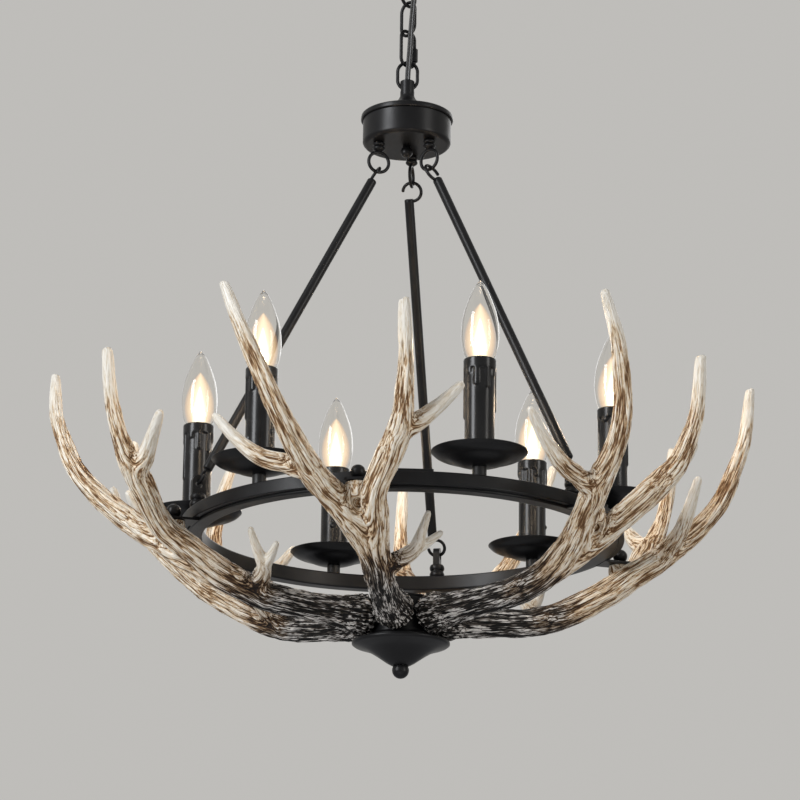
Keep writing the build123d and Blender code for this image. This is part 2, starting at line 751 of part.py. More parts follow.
with BuildPart() as cup_nut:
    turning(ball(cup_floor - cup_bead_diameter / 2, cup_bead_diameter), small_sides)
    turning([(cup_floor - stud_root, stud_diameter / 2), (cup_floor + 2 * sheet, stud_diameter / 2)], stud_sides)

with BuildPart() as finial:
    finial_top = degrees(asin((finial_drop - seat_gap) / (finial_diameter / 2)))
    turning(ball(finial_middle, finial_diameter, finial_top), small_sides)
    bore(bolt_low - seat_gap, cone_low, hub_bore)

with BuildPart(ring_plane) as ball_nuts:
    with PolarLocations(nut_radius, light_count, start_angle=antler_angle):
        add(antler_nut.part)
    add(cup_nut.part)
    add(finial.part)
save(ball_nuts.part, "ball_nuts")
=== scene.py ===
# %% [markdown]
# # A ring chandelier with six cast antlers and six candle lights
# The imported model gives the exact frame: every piece here is modelled in metres on top of it, so a
# hook meets its eye without any fitting. Inside a piece's own outline the numbers are millimetres,
# because that is how a metalworker would read them.

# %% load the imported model
from math import ceil, cos, pi, radians, sin

import bmesh
import bpy
import numpy as np
from mathutils import Matrix, Vector, noise


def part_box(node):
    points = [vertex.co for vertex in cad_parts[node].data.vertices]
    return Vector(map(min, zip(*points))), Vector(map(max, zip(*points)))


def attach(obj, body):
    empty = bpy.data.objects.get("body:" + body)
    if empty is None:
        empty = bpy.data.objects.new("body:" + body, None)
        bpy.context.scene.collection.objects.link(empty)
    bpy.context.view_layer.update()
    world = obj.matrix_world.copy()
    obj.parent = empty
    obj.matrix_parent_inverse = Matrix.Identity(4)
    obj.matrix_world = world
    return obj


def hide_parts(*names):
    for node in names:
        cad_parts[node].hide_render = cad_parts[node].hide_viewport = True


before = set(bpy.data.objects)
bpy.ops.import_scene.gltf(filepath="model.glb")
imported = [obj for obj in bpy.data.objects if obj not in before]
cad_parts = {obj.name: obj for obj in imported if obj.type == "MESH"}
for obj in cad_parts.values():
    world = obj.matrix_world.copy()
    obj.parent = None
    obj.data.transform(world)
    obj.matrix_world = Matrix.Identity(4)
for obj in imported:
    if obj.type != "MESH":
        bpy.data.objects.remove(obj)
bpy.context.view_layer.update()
mm = 0.001
ring_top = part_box("ring_tube")[1][2]
print("nodes", len(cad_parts), "ring top", round(ring_top, 4))


def add_object(name, data):
    """Puts a new object in the scene."""
    added = bpy.data.objects.new(name, data)
    bpy.context.collection.objects.link(added)
    return added


# %% [markdown]
# ## The camera
# The photograph looks up at the fixture from about three metres away, with a long lens. The fixture
# hangs a little out of plumb there, and the hinge is at rest in the model, so the camera leans by
# that much instead, about a point under the cup.

# %% camera
lens_length = 147.19
eye_place = Vector((-7.24, -3018.52, -772.24))
eye_pitch = radians(16.61)
fixture_lean = radians(0.67)
lean_height = 440

camera_data = bpy.data.cameras.new("camera")
camera_data.lens = lens_length
camera_data.sensor_width = 36
camera = add_object("camera", camera_data)
lean_back = Matrix.Rotation(-fixture_lean, 4, "Y")
pivot = Vector((0, 0, lean_height))
leaned_eye = lean_back @ (eye_place - pivot) + pivot
camera.matrix_world = (Matrix.Translation(leaned_eye * mm + Vector((0, 0, ring_top)))
                       @ lean_back @ Matrix.Rotation(pi / 2 + eye_pitch, 4, "X"))
bpy.context.scene.camera = camera
print("camera at", [round(value, 3) for value in camera.matrix_world.translation])

# %% [markdown]
# ## Two ways to make a mesh
# Nearly everything on a light like this is turned on a lathe or bent from wire. So one helper spins
# an outline round the upright axis, and another sweeps a section along a path. Both take plain
# numpy arrays, which keeps thousands of points quick.

# %% lathe and sweep
def new_piece(name, points, faces):
    """Makes an object from points in millimetres and lists of corner numbers."""
    mesh = bpy.data.meshes.new(name)
    mesh.from_pydata((np.asarray(points) * mm).tolist(), [], faces)
    mesh.validate()
    mesh.polygons.foreach_set("use_smooth", [True] * len(mesh.polygons))
    return add_object(name, mesh)


def piece_from_rows(name, points, rows, columns, closed):
    """Skins round rows of points, and joins the last row to the first or puts a face on both ends."""
    faces = []
    for row in range(rows if closed else rows - 1):
        above = (row + 1) % rows
        for column in range(columns):
            beside = (column + 1) % columns
            faces.append((row * columns + column, row * columns + beside,
                          above * columns + beside, above * columns + column))
    if not closed:
        faces.append(tuple(range(columns))[::-1])
        faces.append(tuple(range((rows - 1) * columns, rows * columns)))
    return new_piece(name, points, faces)


def unit(direction):
    """Gives a direction a length of one."""
    return direction / np.linalg.norm(direction)


def lathe(name, outline, columns=72, closed=True):
    """Spins an outline of (radius, height) places round the upright axis."""
    outline = np.asarray(outline, float)
    turns = np.arange(columns) * 2 * pi / columns
    rings = np.zeros((len(outline), columns, 3))
    rings[:, :, 0] = outline[:, 0, None] * np.cos(turns)
    rings[:, :, 1] = outline[:, 0, None] * np.sin(turns)
    rings[:, :, 2] = outline[:, 1, None]
    return piece_from_rows(name, rings.reshape(-1, 3), len(outline), columns, closed)


def sweep(name, path, section, scales=None, closed=False, side=(0, 0, 1)):
    """Carries a flat section along a path of places, turning with it and never twisting."""
    path = np.asarray(path, float)
    section = np.asarray(section, float)
    scales = np.ones(len(path)) if scales is None else scales
    if closed:
        runs = np.roll(path, -1, axis=0) - np.roll(path, 1, axis=0)
    else:
        runs = np.gradient(path, axis=0)
    runs = runs / np.linalg.norm(runs, axis=1)[:, None]
    across = unit(np.cross(side, runs[0]))
    points = []
    for spot, run, scale in zip(path, runs, scales):
        across = unit(across - run * np.dot(across, run))
        over = np.cross(run, across)
        points.append(spot + scale * (section[:, :1] * across + section[:, 1:] * over))
    return piece_from_rows(name, np.concatenate(points), len(path), len(section), closed)


def circle(radius, count=16):
    """Lists a round section."""
    turns = np.arange(count) * 2 * pi / count
    return np.stack([radius * np.cos(turns), radius * np.sin(turns)], axis=1)


def arc(centre, radius, start, end, across, over, steps=24):
    """Lists places on an arc between two angles in the plane of two directions."""
    turns = np.radians(np.linspace(start, end, steps))[:, None]
    return np.asarray(centre) + radius * (np.cos(turns) * across + np.sin(turns) * over)


def through(knots, steps=8):
    """Draws a smooth line through knots of any number of values each."""
    knots = np.asarray(knots, float)
    ends = np.concatenate([[2 * knots[0] - knots[1]], knots, [2 * knots[-1] - knots[-2]]])
    line = []
    for before, start, end, after in zip(ends, ends[1:], ends[2:], ends[3:]):
        for share in np.arange(steps) / steps:
            line.append(0.5 * (2 * start + (end - before) * share
                               + (2 * before - 5 * start + 4 * end - after) * share ** 2
                               + (3 * start - before - 3 * end + after) * share ** 3))
    line.append(knots[-1])
    return np.array(line)


def soften(outline, size, closed=True, steps=3):
    """Rounds the corners of an outline, with a place just before and after each round."""
    outline = np.asarray(outline, float)
    count = len(outline)
    places = []
    for index, corner in enumerate(outline):
        if not closed and index in (0, count - 1):
            places.append(corner)
            continue
        back = outline[index - 1] - corner
        ahead = outline[(index + 1) % count] - corner
        shorter = min(np.linalg.norm(back), np.linalg.norm(ahead))
        reach = min(size, 0.36 * shorter)
        back = unit(back) * reach
        ahead = unit(ahead) * reach
        places.append(corner + 1.3 * back)
        for share in np.arange(steps + 1) / steps:
            places.append(corner + (1 - share) ** 2 * back + share ** 2 * ahead)
        places.append(corner + 1.3 * ahead)
    return np.array(places)


# %% [markdown]
# A plate is an outline with thickness: a ring tab, a lug or a splice. Its edge is rounded by the
# Bevel modifier, and the modifier is then made part of the mesh.

# %% plates
def settle(piece):
    """Makes a piece's modifiers part of its mesh."""
    bpy.context.view_layer.update()
    shape = piece.evaluated_get(bpy.context.evaluated_depsgraph_get())
    mesh = bpy.data.meshes.new_from_object(shape)
    mesh.name = piece.name
    piece.modifiers.clear()
    piece.data = mesh
    return piece


def bevel(piece, width):
    """Rounds a piece's sharp edges."""
    modifier = piece.modifiers.new("edges", "BEVEL")
    modifier.width = width * mm
    modifier.segments = 3
    modifier.limit_method = "ANGLE"
    modifier.angle_limit = radians(28)
    modifier.harden_normals = True
    return settle(piece)


def plate(name, outline, thickness, hole=None, edge=0.4):
    """Thickens a flat outline upward from the plane, with a round hole if one is given."""
    loops = [np.asarray(outline, float)]
    if hole is not None:
        loops.append(hole)
    points, faces = [], []
    for loop in loops:
        first = len(points)
        count = len(loop)
        points += [(x, y, 0) for x, y in loop] + [(x, y, thickness) for x, y in loop]
        for corner in range(count):
            beside = (corner + 1) % count
            wall = (first + corner, first + beside, first + count + beside, first + count + corner)
            faces.append(wall if loop is loops[0] else wall[::-1])
    rim = len(loops[0])
    if hole is None:
        faces += [tuple(range(rim))[::-1], tuple(range(rim, 2 * rim))]
        return bevel(new_piece(name, points, faces), edge)
    bore = len(hole)
    for level in (0, 1):
        ring = [level * rim + corner for corner in range(rim)]
        inner = [2 * rim + level * bore + corner for corner in range(bore)]
        faces += bridged(points, ring, inner, level == 1)
    return bevel(new_piece(name, points, faces), edge)


def bridged(points, ring, inner, up):
    """Joins an outline to the hole inside it with three-sided faces, going once round both."""
    middle = np.mean([points[corner][:2] for corner in inner], axis=0)

    def turn(corner):
        return np.arctan2(*(np.array(points[corner][:2]) - middle)[::-1]) % (2 * pi)

    ring = sorted(ring, key=turn)
    inner = sorted(inner, key=turn)
    faces = []
    at_ring = at_inner = 0
    while at_ring < len(ring) or at_inner < len(inner):
        here, there = ring[at_ring % len(ring)], inner[at_inner % len(inner)]
        next_ring, next_inner = ring[(at_ring + 1) % len(ring)], inner[(at_inner + 1) % len(inner)]
        ring_turn = turn(next_ring) + (2 * pi if at_ring + 1 >= len(ring) else 0)
        inner_turn = turn(next_inner) + (2 * pi if at_inner + 1 >= len(inner) else 0)
        if at_inner >= len(inner) or (at_ring < len(ring) and ring_turn <= inner_turn):
            faces.append((here, next_ring, there))
            at_ring += 1
        else:
            faces.append((here, next_inner, there))
            at_inner += 1
    return faces if up else [face[::-1] for face in faces]


def place(piece, angle=0.0, radius=0.0, height=None):
    """Sets a piece out from the upright axis: by default its heights are over the ring's top."""
    height = ring_top if height is None else height
    piece.matrix_world = (Matrix.Translation((0, 0, height)) @ Matrix.Rotation(radians(angle), 4, "Z")
                          @ Matrix.Translation((radius * mm, 0, 0)))
    return piece


def numbered(first, number):
    """Gives the first piece for number 1, and else another object of its mesh with its own number."""
    if number == 1:
        return first
    return add_object(first.name.replace("_1", f"_{number}"), first.data)


def dress(piece, material, body, slot, *nodes):
    """Gives a piece its finish and body, and hides the solids it stands for."""
    piece.data.materials.clear()
    piece.data.materials.append(material)
    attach(piece, body)
    if nodes:
        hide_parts(*nodes)


def fix_black(piece, node, angle=0.0, radius=0.0):
    """Sets a black steel piece on the fixture in the place of one of its solids."""
    dress(place(piece, angle, radius), satin_black, "fixture", "black_metal", node)


# %% [markdown]
# ## Finishes
# The steel is sprayed satin black. Close up, sprayed paint has a fine orange-peel skin and slightly
# cloudy gloss. Both come from one shader group, so the gloss black of the candles, the cord's jacket
# and the plated steel can use it too, each at its own scale.

# %% the paint skin group
skin_group = bpy.data.node_groups.new("paint skin", "ShaderNodeTree")
skin_in = skin_group.nodes.new("NodeGroupInput")
skin_out = skin_group.nodes.new("NodeGroupOutput")
coordinates = skin_group.nodes.new("ShaderNodeTexCoord")
for label, usual_scale, octaves in (("Peel", 900, 2.0), ("Cloud", 40, 4.0)):
    socket = skin_group.interface.new_socket(f"{label} scale", in_out="INPUT", socket_type="NodeSocketFloat")
    socket.default_value = usual_scale
    skin_group.interface.new_socket(label, in_out="OUTPUT", socket_type="NodeSocketFloat")
    texture = skin_group.nodes.new("ShaderNodeTexNoise")
    texture.inputs["Detail"].default_value = octaves
    skin_group.links.new(coordinates.outputs["Object"], texture.inputs["Vector"])
    skin_group.links.new(skin_in.outputs[f"{label} scale"], texture.inputs["Scale"])
    skin_group.links.new(texture.outputs["Fac"], skin_out.inputs[label])
print("group", skin_group.name)


# %% materials that use the skin
def new_material(name):
    """Starts a material and gives its nodes, links and Principled shader."""
    material = bpy.data.materials.new(name)
    material.use_nodes = True
    tree = material.node_tree
    return material, tree.nodes, tree.links, tree.nodes["Principled BSDF"]


def set_values(node, **values):
    """Sets sockets of a node, each named with underscores for its spaces."""
    for label, value in values.items():
        node.inputs[label.replace("_", " ")].default_value = value


def add_bump(nodes, links, shader, height, strength, distance):
    """Raises a surface by a mask."""
    relief = nodes.new("ShaderNodeBump")
    set_values(relief, Strength=strength, Distance=distance)
    links.new(height, relief.inputs["Height"])
    links.new(relief.outputs["Normal"], shader.inputs["Normal"])


def value_ramp(nodes, stops, colour=False):
    """Makes a ramp from stops with a position and a value, in grey or colour."""
    ramp = nodes.new("ShaderNodeValToRGB")
    band = ramp.color_ramp
    for index, (position, value) in enumerate(stops):
        stop = band.elements[index] if index < 2 else band.elements.new(position)
        stop.position = position
        stop.color = (*value, 1) if colour else (value, value, value, 1)
    return ramp


def skinned(name, dark, light, gloss, peel, cloud, bump, metallic=0.0, shine=0.5):
    """Makes a painted, plated or moulded finish from two close colours and a range of roughness."""
    material, nodes, links, shader = new_material(name)
    skin = nodes.new("ShaderNodeGroup")
    skin.node_tree = skin_group
    set_values(skin, Peel_scale=peel, Cloud_scale=cloud)
    tint = value_ramp(nodes, ((0.35, dark), (0.7, light)), colour=True)
    links.new(skin.outputs["Cloud"], tint.inputs["Fac"])
    links.new(tint.outputs["Color"], shader.inputs["Base Color"])
    rough = value_ramp(nodes, ((0.3, gloss[0]), (0.75, gloss[1])))
    links.new(skin.outputs["Cloud"], rough.inputs["Fac"])
    links.new(rough.outputs["Color"], shader.inputs["Roughness"])
    add_bump(nodes, links, shader, skin.outputs["Peel"], bump, 0.0002)
    set_values(shader, Metallic=metallic, Specular_IOR_Level=shine)
    return material


satin_black = skinned("satin black paint", (0.0045, 0.0045, 0.005), (0.008, 0.008, 0.0085), (0.30, 0.40),
                      900, 40, 0.25, shine=0.2)
gloss_black = skinned("gloss black candle", (0.004, 0.004, 0.0045), (0.008, 0.008, 0.0085), (0.20, 0.30),
                      500, 60, 0.2, shine=0.3)
plated_steel = skinned("zinc plate", (0.50, 0.50, 0.49), (0.66, 0.66, 0.63), (0.24, 0.40),
                       1500, 90, 0.15, metallic=1.0)
black_nylon = skinned("black nylon", (0.008, 0.008, 0.008), (0.013, 0.013, 0.013), (0.42, 0.55),
                      1400, 60, 0.3, shine=0.35)
cord_jacket = skinned("cord jacket", (0.006, 0.006, 0.006), (0.012, 0.012, 0.012), (0.28, 0.38),
                      1200, 80, 0.2, shine=0.4)
screw_brass = skinned("screw shell", (0.55, 0.43, 0.20), (0.72, 0.58, 0.30), (0.22, 0.36),
                      1200, 120, 0.15, metallic=1.0)
print("finishes", [material.name for material in (satin_black, gloss_black, plated_steel, black_nylon)])

# %% [markdown]
# ## The cord
# A flat twin cord runs up beside the chain, from the slotted neck of the cup to the bushing in the
# ceiling plate. Its line is a NURBS spline with the route's own points, so it bends as softly as
# real flex. The section of two joined round cores is then swept along that line.

# %% twin cord
chain_foot = -0.1718
cord_points = [(0, -3.35, -5.2), (0, -3.35, 10.8), (1, -6, 24.8), (2.2, -10.5, 40.8), (3, -12.5, 60.8),
               (4.5, -12.5, 80.8), (6, -13, 98.8), (6, -15, 115.8), (5, -16, 135.8), (5, -16, 157.8)]
route = bpy.data.curves.new("cord route", "CURVE")
route.dimensions = "3D"
spline = route.splines.new("NURBS")
spline.points.add(len(cord_points) - 1)
for point, (x, y, rise) in zip(spline.points, cord_points):
    point.co = (x * mm, y * mm, chain_foot + rise * mm, 1)
spline.order_u = 3
spline.use_endpoint_u = True
spline.resolution_u = 10
route_object = add_object("cord route", route)
bpy.context.view_layer.update()
route_shape = route_object.evaluated_get(bpy.context.evaluated_depsgraph_get())
route_mesh = bpy.data.meshes.new_from_object(route_shape)
cord_line = np.array([vertex.co for vertex in route_mesh.vertices])
bpy.data.objects.remove(route_object)
cord_length = float(np.linalg.norm(np.diff(cord_line, axis=0), axis=1).sum())

core_radius, core_offset = 1.33, 1.32
lobes = []
for side, first in ((1, -140), (-1, 40)):
    turns = np.radians(np.linspace(first, first + 280, 13))
    lobes += [(side * core_offset + core_radius * cos(turn), core_radius * sin(turn)) for turn in turns]
cord = sweep("power_cord_jacket", cord_line / mm, lobes, side=(0, 1, 0))
dress(cord, cord_jacket, "chain", "cord_jacket", "power_cord")
print("cord length", round(cord_length, 4))

# %% [markdown]
# ## Ceiling plate and chain
# The plate is pressed from sheet, so its outline is one closed wall turned on the lathe, with soft
# bends. The loop under it and all the links are bent wire: a round section swept along a path.

# %% ceiling plate
canopy_outline = [(5.0, -25), (41, -25), (48, -22), (54.5, -17.5), (58.5, -10), (60, 0),
                  (58.5, 0), (57, -9.4), (53.3, -16.5), (47.2, -20.6), (40.6, -23.5), (5.0, -23.5)]
canopy = lathe("canopy_plate", soften(canopy_outline, 3), 96)
dress(place(canopy, height=0), satin_black, "canopy", "black_metal", "canopy_shell")

bushing_outline = [(5.8, -25.8), (7.6, -25.8), (7.6, -25), (6.8, -25), (6.8, -22.7), (5.8, -22.7)]
bushing = lathe("cord_bushing_ring", soften(bushing_outline, 0.3), 40)
bushing.matrix_world = Matrix.Translation((cord_points[-1][0] * mm, cord_points[-1][1] * mm, 0))
dress(bushing, black_nylon, "canopy", "black_plastic", "cord_bushing")


# %% wire links
def across_at(angle):
    """Gives the level direction at an angle."""
    return np.array([cos(radians(angle)), sin(radians(angle)), 0])


def link_path(angle, high, length, width, corner, gap=None):
    """Lists the centre line of a wire link: four rounded corners, and a gap in one strand if it has one."""
    across, up = across_at(angle), np.array([0, 0, 1.0])
    middle = np.array([0, 0, high - length / 2])
    half, rise = width / 2 - corner, length / 2 - corner
    places = []
    for turn, side, level in ((0, 1, 1), (90, -1, 1), (180, -1, -1), (270, 1, -1)):
        centre = middle + side * half * across + level * rise * up
        places.append(arc(centre, corner, turn, turn + 90, across, up, 12))
    path = np.concatenate(places)
    if gap:
        strand = middle + width / 2 * across
        low, top = ([strand[0], strand[1], height] for height in gap)
        return np.concatenate([[top], path, [low]])
    keep = np.linalg.norm(path - np.roll(path, 1, axis=0), axis=1) > 1e-6
    return path[keep]


link_wire = 3.4
loop_angle = -45
collar_outline = [(0.5, -32), (7, -32), (8, -31), (8, -25), (4.75, -25), (4.75, -0.5), (0.5, -0.5)]
collar = lathe("canopy_collar", soften(collar_outline, 0.5), 48)
dress(place(collar, height=0), satin_black, "canopy", "black_metal", "canopy_loop")
loop = sweep("canopy_loop_ring", arc((0, 0, -41.5), 10.5, 0, 352, across_at(loop_angle), (0, 0, 1), 45),
             circle(2.5, 18), closed=True, side=across_at(loop_angle + 90))
dress(loop, satin_black, "canopy", "black_metal", "canopy_loop")

quick_low = -146.9
chain = (("chain_link_1", 45, -47.5, 35.1, 18.6, 9.3, None),
         ("chain_link_2", -45, -78.9, 35.1, 18.6, 9.3, None),
         ("quick_link_body", 45, -110.3, 36.6, 18.6, 7.0, (quick_low + 8.4, quick_low + 15.4)),
         ("neck_link", 0, -143.2, 28.6, 19.6, 9.8, None))
for name, angle, high, length, width, corner, gap in chain:
    path = link_path(angle, high, length, width, corner, gap)
    link = sweep(name, path, circle(link_wire / 2, 18), closed=gap is None, side=across_at(angle + 90))
    dress(link, satin_black, "chain", "black_metal", "chain_links")

hexagon = circle(3.5, 6)
quick_nut = plate("quick_link_sleeve_nut", hexagon, 14, hole=circle(1.85, 24), edge=0.5)
strand = across_at(45) * 9.3
quick_nut.matrix_world = Matrix.Translation((strand[0] * mm, strand[1] * mm, (quick_low + 7) * mm))
dress(quick_nut, satin_black, "quick_nut", "black_metal", "quick_link_nut")
print("chain pieces", len(chain) + 1)

# %% [markdown]
# ## Cup
# The lid is spun from sheet: a lip, a dished slope and a neck that the lowest link passes through.
# The lathe makes the sheet as a closed wall, and a Boolean modifier saws the two slots in the neck.

# %% cup
lid_knots = [(44.2, 420.5), (38, 422.2), (30, 425), (18, 430.5), (10.6, 436), (7.4, 441), (7.1, 446)]
lid_slope = through(lid_knots, 4)
lid_under = [(radius - 1, height - 1.4) for radius, height in lid_slope[::-1]]
lid_outline = [(42, 415), (44.8, 415), (45.5, 415.8), (45.5, 418), (45.2, 419.6), *lid_slope, (7.1, 457.1),
               (6.7, 457.5), (6.1, 457.4), *lid_under, (42, 418)]
lid = lathe("cup_spun_lid", lid_outline, 120)
saw = new_piece("saw", [(x, y, z) for x in (-12, 12) for y in (-2.4, 2.4) for z in (446.5, 455.4)],
                [(0, 1, 3, 2), (4, 6, 7, 5), (0, 4, 5, 1), (2, 3, 7, 6), (0, 2, 6, 4), (1, 5, 7, 3)])
cut = lid.modifiers.new("slots", "BOOLEAN")
cut.object = saw
settle(lid)
lid.data.set_sharp_from_angle(angle=radians(32))
bpy.data.objects.remove(saw)
fix_black(lid, "cup_lid")

cup_outline = [(0.5, 389), (40.6, 389), (43.5, 391.6), (43.5, 415), (42, 415), (42, 392.2),
               (39.8, 390.5), (0.5, 390.5)]
cup = lathe("cup_drum", soften(cup_outline, 1.6), 120)
fix_black(cup, "cup_body")


# %% [markdown]
# ## Eyes and rods
# A beaded eye bolt hangs under the cup for each rod, and a beaded post with a drilled lug stands on
# the ring. The rod's hooks are one sweep each, three quarters of a turn and a bit, with rounded ends.

# %% eyes
def turned_beads(high, height, waist, widest, count=2):
    """Lists the outline of a stack of round beads, going down."""
    shares = np.linspace(0, 1, 11)
    return [(waist + (widest - waist) * sin(pi * share) ** 0.75, high - (bead + share) * height)
            for bead in range(count) for share in shares]


def ball_outline(middle, radius, low, high):
    """Lists the outline of a ball between two heights, going up."""
    turns = np.arcsin(np.clip((np.linspace(low, high, 25) - middle) / radius, -1, 1))
    return [(max(0.3, radius * cos(turn)), middle + radius * sin(turn)) for turn in turns]


rod_angles = (-160, -40, 80)
cup_eye_radius, ring_eye_radius = 29, 203
eye_outline = [(0.3, 389), *turned_beads(389, 4.35, 4.2, 6), (3, 379.4), (0.3, 379.2)]
eye_beads = lathe("cup_eye_beads_1", eye_outline, 40)
eye_path = arc((0, 0, 368.3), 10.35, 0, 352, (1, 0, 0), (0, 0, 1), 45)
eye_ring = sweep("cup_eye_ring_1", eye_path, circle(1.65), closed=True, side=(0, 1, 0))
post_outline = [(0.3, 0), *turned_beads(13.8, 6.9, 6.2, 7.5)[::-1], (0.3, 13.8)]
post = lathe("ring_eye_post_1", post_outline, 48)
lug_half, lug_head = 6.5, 24.9
lug_dome = [(lug_half * cos(turn), lug_head + lug_half * sin(turn)) for turn in np.linspace(0, pi, 25)]
lug_hole = [(x, y + 22.5) for x, y in circle(3.7, 32)]
lug = plate("ring_eye_lug_1", [(-lug_half, 12), (lug_half, 12), *lug_dome], lug_half, hole=lug_hole, edge=0.6)
lug.data.transform(Matrix.Translation((0, lug_half / 2 * mm, 0)) @ Matrix.Rotation(pi / 2, 4, "X"))
for number, angle in enumerate(rod_angles, 1):
    for first, radius in ((eye_beads, cup_eye_radius), (eye_ring, cup_eye_radius),
                          (post, ring_eye_radius), (lug, ring_eye_radius)):
        fix_black(numbered(first, number), "rod_eyes", angle, radius)

# %% rods
rod_top = np.array([cup_eye_radius, 0, 361.5])
rod_foot = np.array([ring_eye_radius, 0, 23.5])
rod_up = unit(rod_top - rod_foot)
sideways = np.array([0, 1.0, 0])
upper_bend, lower_bend = 9.15, 8.15
upper_middle = rod_top - rod_up * upper_bend
lower_middle = rod_foot + rod_up * lower_bend
hook_wire = 1.6


def rounded_bar(name, path, radius):
    """Sweeps a round bar with domed ends along a path."""
    path = np.asarray(path, float)
    first = unit(path[0] - path[1])
    last = unit(path[-1] - path[-2])
    turns = np.radians((80, 55, 28))
    start = [path[0] + first * radius * 0.7 * sin(turn) for turn in turns]
    end = [path[-1] + last * radius * 0.7 * sin(turn) for turn in turns[::-1]]
    scales = [*np.cos(turns), *[1] * len(path), *np.cos(turns)[::-1]]
    return sweep(name, [*start, *path, *end], circle(radius, 20), scales, side=(0, 0.02, 1))


upper_path = arc(upper_middle, upper_bend, 8, 292, sideways, rod_up, 40)
upper_hook = rounded_bar("rod_1_upper_hook", upper_path, hook_wire)
lower_path = arc(lower_middle, lower_bend, -8, -292, sideways, rod_up, 40)
lower_hook = rounded_bar("rod_1_lower_hook", lower_path, hook_wire)
tube_low = lower_middle + rod_up * 7 + sideways * 3.5
tube_high = upper_middle - rod_up * 7 + sideways * 3.5
tube_shares = (0, 0.002, 0.004, 0.01, 0.5, 0.99, 0.996, 0.998, 1)
tube_scales = (0.8, 0.94, 1, 1, 1, 1, 1, 0.94, 0.8)
tube_run = [tube_low + (tube_high - tube_low) * share for share in tube_shares]
tube = sweep("rod_1_tube", tube_run, circle(4.75, 32), tube_scales, side=sideways)
for number, angle in enumerate(rod_angles, 1):
    for first in (tube, upper_hook, lower_hook):
        fix_black(numbered(first, number), f"rod_{number}", angle)
print("rod length", round(float(np.linalg.norm(tube_high - tube_low)), 1))

# %% [markdown]
# ## Ring
# Seen close, the ring is a square tube with a flat hoop round it. Light catches the two upper edges,
# so both outlines get a small radius. A splice plate covers the hoop's joint, and each antler bolts
# up to a tab under the hoop, with a ball nut on top.

# %% ring
ring_tube = lathe("ring_square_tube", soften([(190, -14.6), (204.8, -14.6), (204.8, 0), (190, 0)], 1.5), 288)
fix_black(ring_tube, "ring_tube")
hoop = lathe("ring_flat_hoop", soften([(205, -12.4), (211, -12.4), (211, 0), (205, 0)], 1.0), 288)
fix_black(hoop, "ring_hoop")
splice = plate("ring_splice", [(-6, -16), (6, -16), (6, 16), (-6, 16)], 2.5, edge=0.5)
fix_black(splice, "splice_plate", -86.7, ring_eye_radius)

antler_angles = [-100 + 60 * number for number in range(6)]
nut_radius = 226
corner_turns = np.linspace(0, pi / 2, 7)
tab_corner = [(232 + 5 * sin(turn), 6.5 + 5 * cos(turn)) for turn in corner_turns]
tab_outline = [(205, -11.5), *[(x, -y) for x, y in tab_corner], *tab_corner[::-1], (205, 11.5)]
tab_hole = [(x + nut_radius, y) for x, y in circle(2.5, 24)]
tab = plate("antler_tab_1", tab_outline, 2.2, hole=tab_hole)
tab.data.transform(Matrix.Translation((0, 0, -14.6 * mm)))
nut_outline = [(0.3, -27.4), (2.2, -27.4), (2.2, -12.6), (4.6, -12.4), (4.7, -11.6),
               *ball_outline(-5.4, 7, -10.6, 1.58), (0.3, 1.6)]
nut = lathe("antler_ball_nut_1", nut_outline, 48)
for number, angle in enumerate(antler_angles, 1):
    for first, radius, node in ((tab, 0, "ring_tabs"), (nut, nut_radius, "ball_nuts")):
        fix_black(numbered(first, number), node, angle, radius)

knob_outline = [(0.3, 377.1), *ball_outline(383, 6, 377.2, 387.6), (3.6, 389), (2.2, 389.2), (2.2, 392),
                (0.3, 392)]
cup_knob = lathe("cup_knob", knob_outline, 40)
fix_black(cup_knob, "ball_nuts")
print("ring pieces done")

# %% [markdown]
# ## Hub
# The castings meet on a spool. A flared cone closes it from below, with a ball on the end of the
# bolt. All three are lathe work, and the cone's line is drawn as a smooth curve through its knots.

# %% hub
spool_outline = [(3.2, -110), (38, -110), (38, -107.2), (32.5, -106.4), (29.4, -104), (29, -99), (29, -70.6),
                 (30, -70.4), (30, -68.4), (3.2, -68.4)]
spool = lathe("hub_spool_turned", soften(spool_outline, 0.8), 120)
fix_black(spool, "hub_spool")
cone_knots = [(8.5, -132.6), (14, -129.5), (24, -122.6), (32, -117.9), (39, -115.3), (44.8, -113.4)]
cone_outline = [(3.2, -132.8), (8, -132.8), *through(cone_knots, 4), (46.3, -112.3), (46.3, -110.4),
                (45.8, -110), (3.2, -110)]
cone = lathe("hub_cone_turned", cone_outline, 120)
fix_black(cone, "hub_cone")
finial = lathe("hub_finial", [(0.3, -145), *ball_outline(-137, 8, -144.95, -133.1), (0.3, -133.1)], 48)
fix_black(finial, "ball_nuts")
bolt_head = plate("hub_bolt_head", circle(6.9, 6), 5, edge=0.5)
bolt_head.data.transform(Matrix.Translation((0, 0, -68.4 * mm)))
fix_black(bolt_head, "hub_bolt")

# %% [markdown]
# ## Lights
# A candle light is five turned or moulded pieces on one line: a stem with the socket, a drip dish,
# the sleeve, and the bulb's screw and glass. Only the sleeve isn't round: wax seems to have run down
# from its top band. Each run is a capsule on the unrolled surface, and where runs meet the wax grows
# no thicker than its full depth.

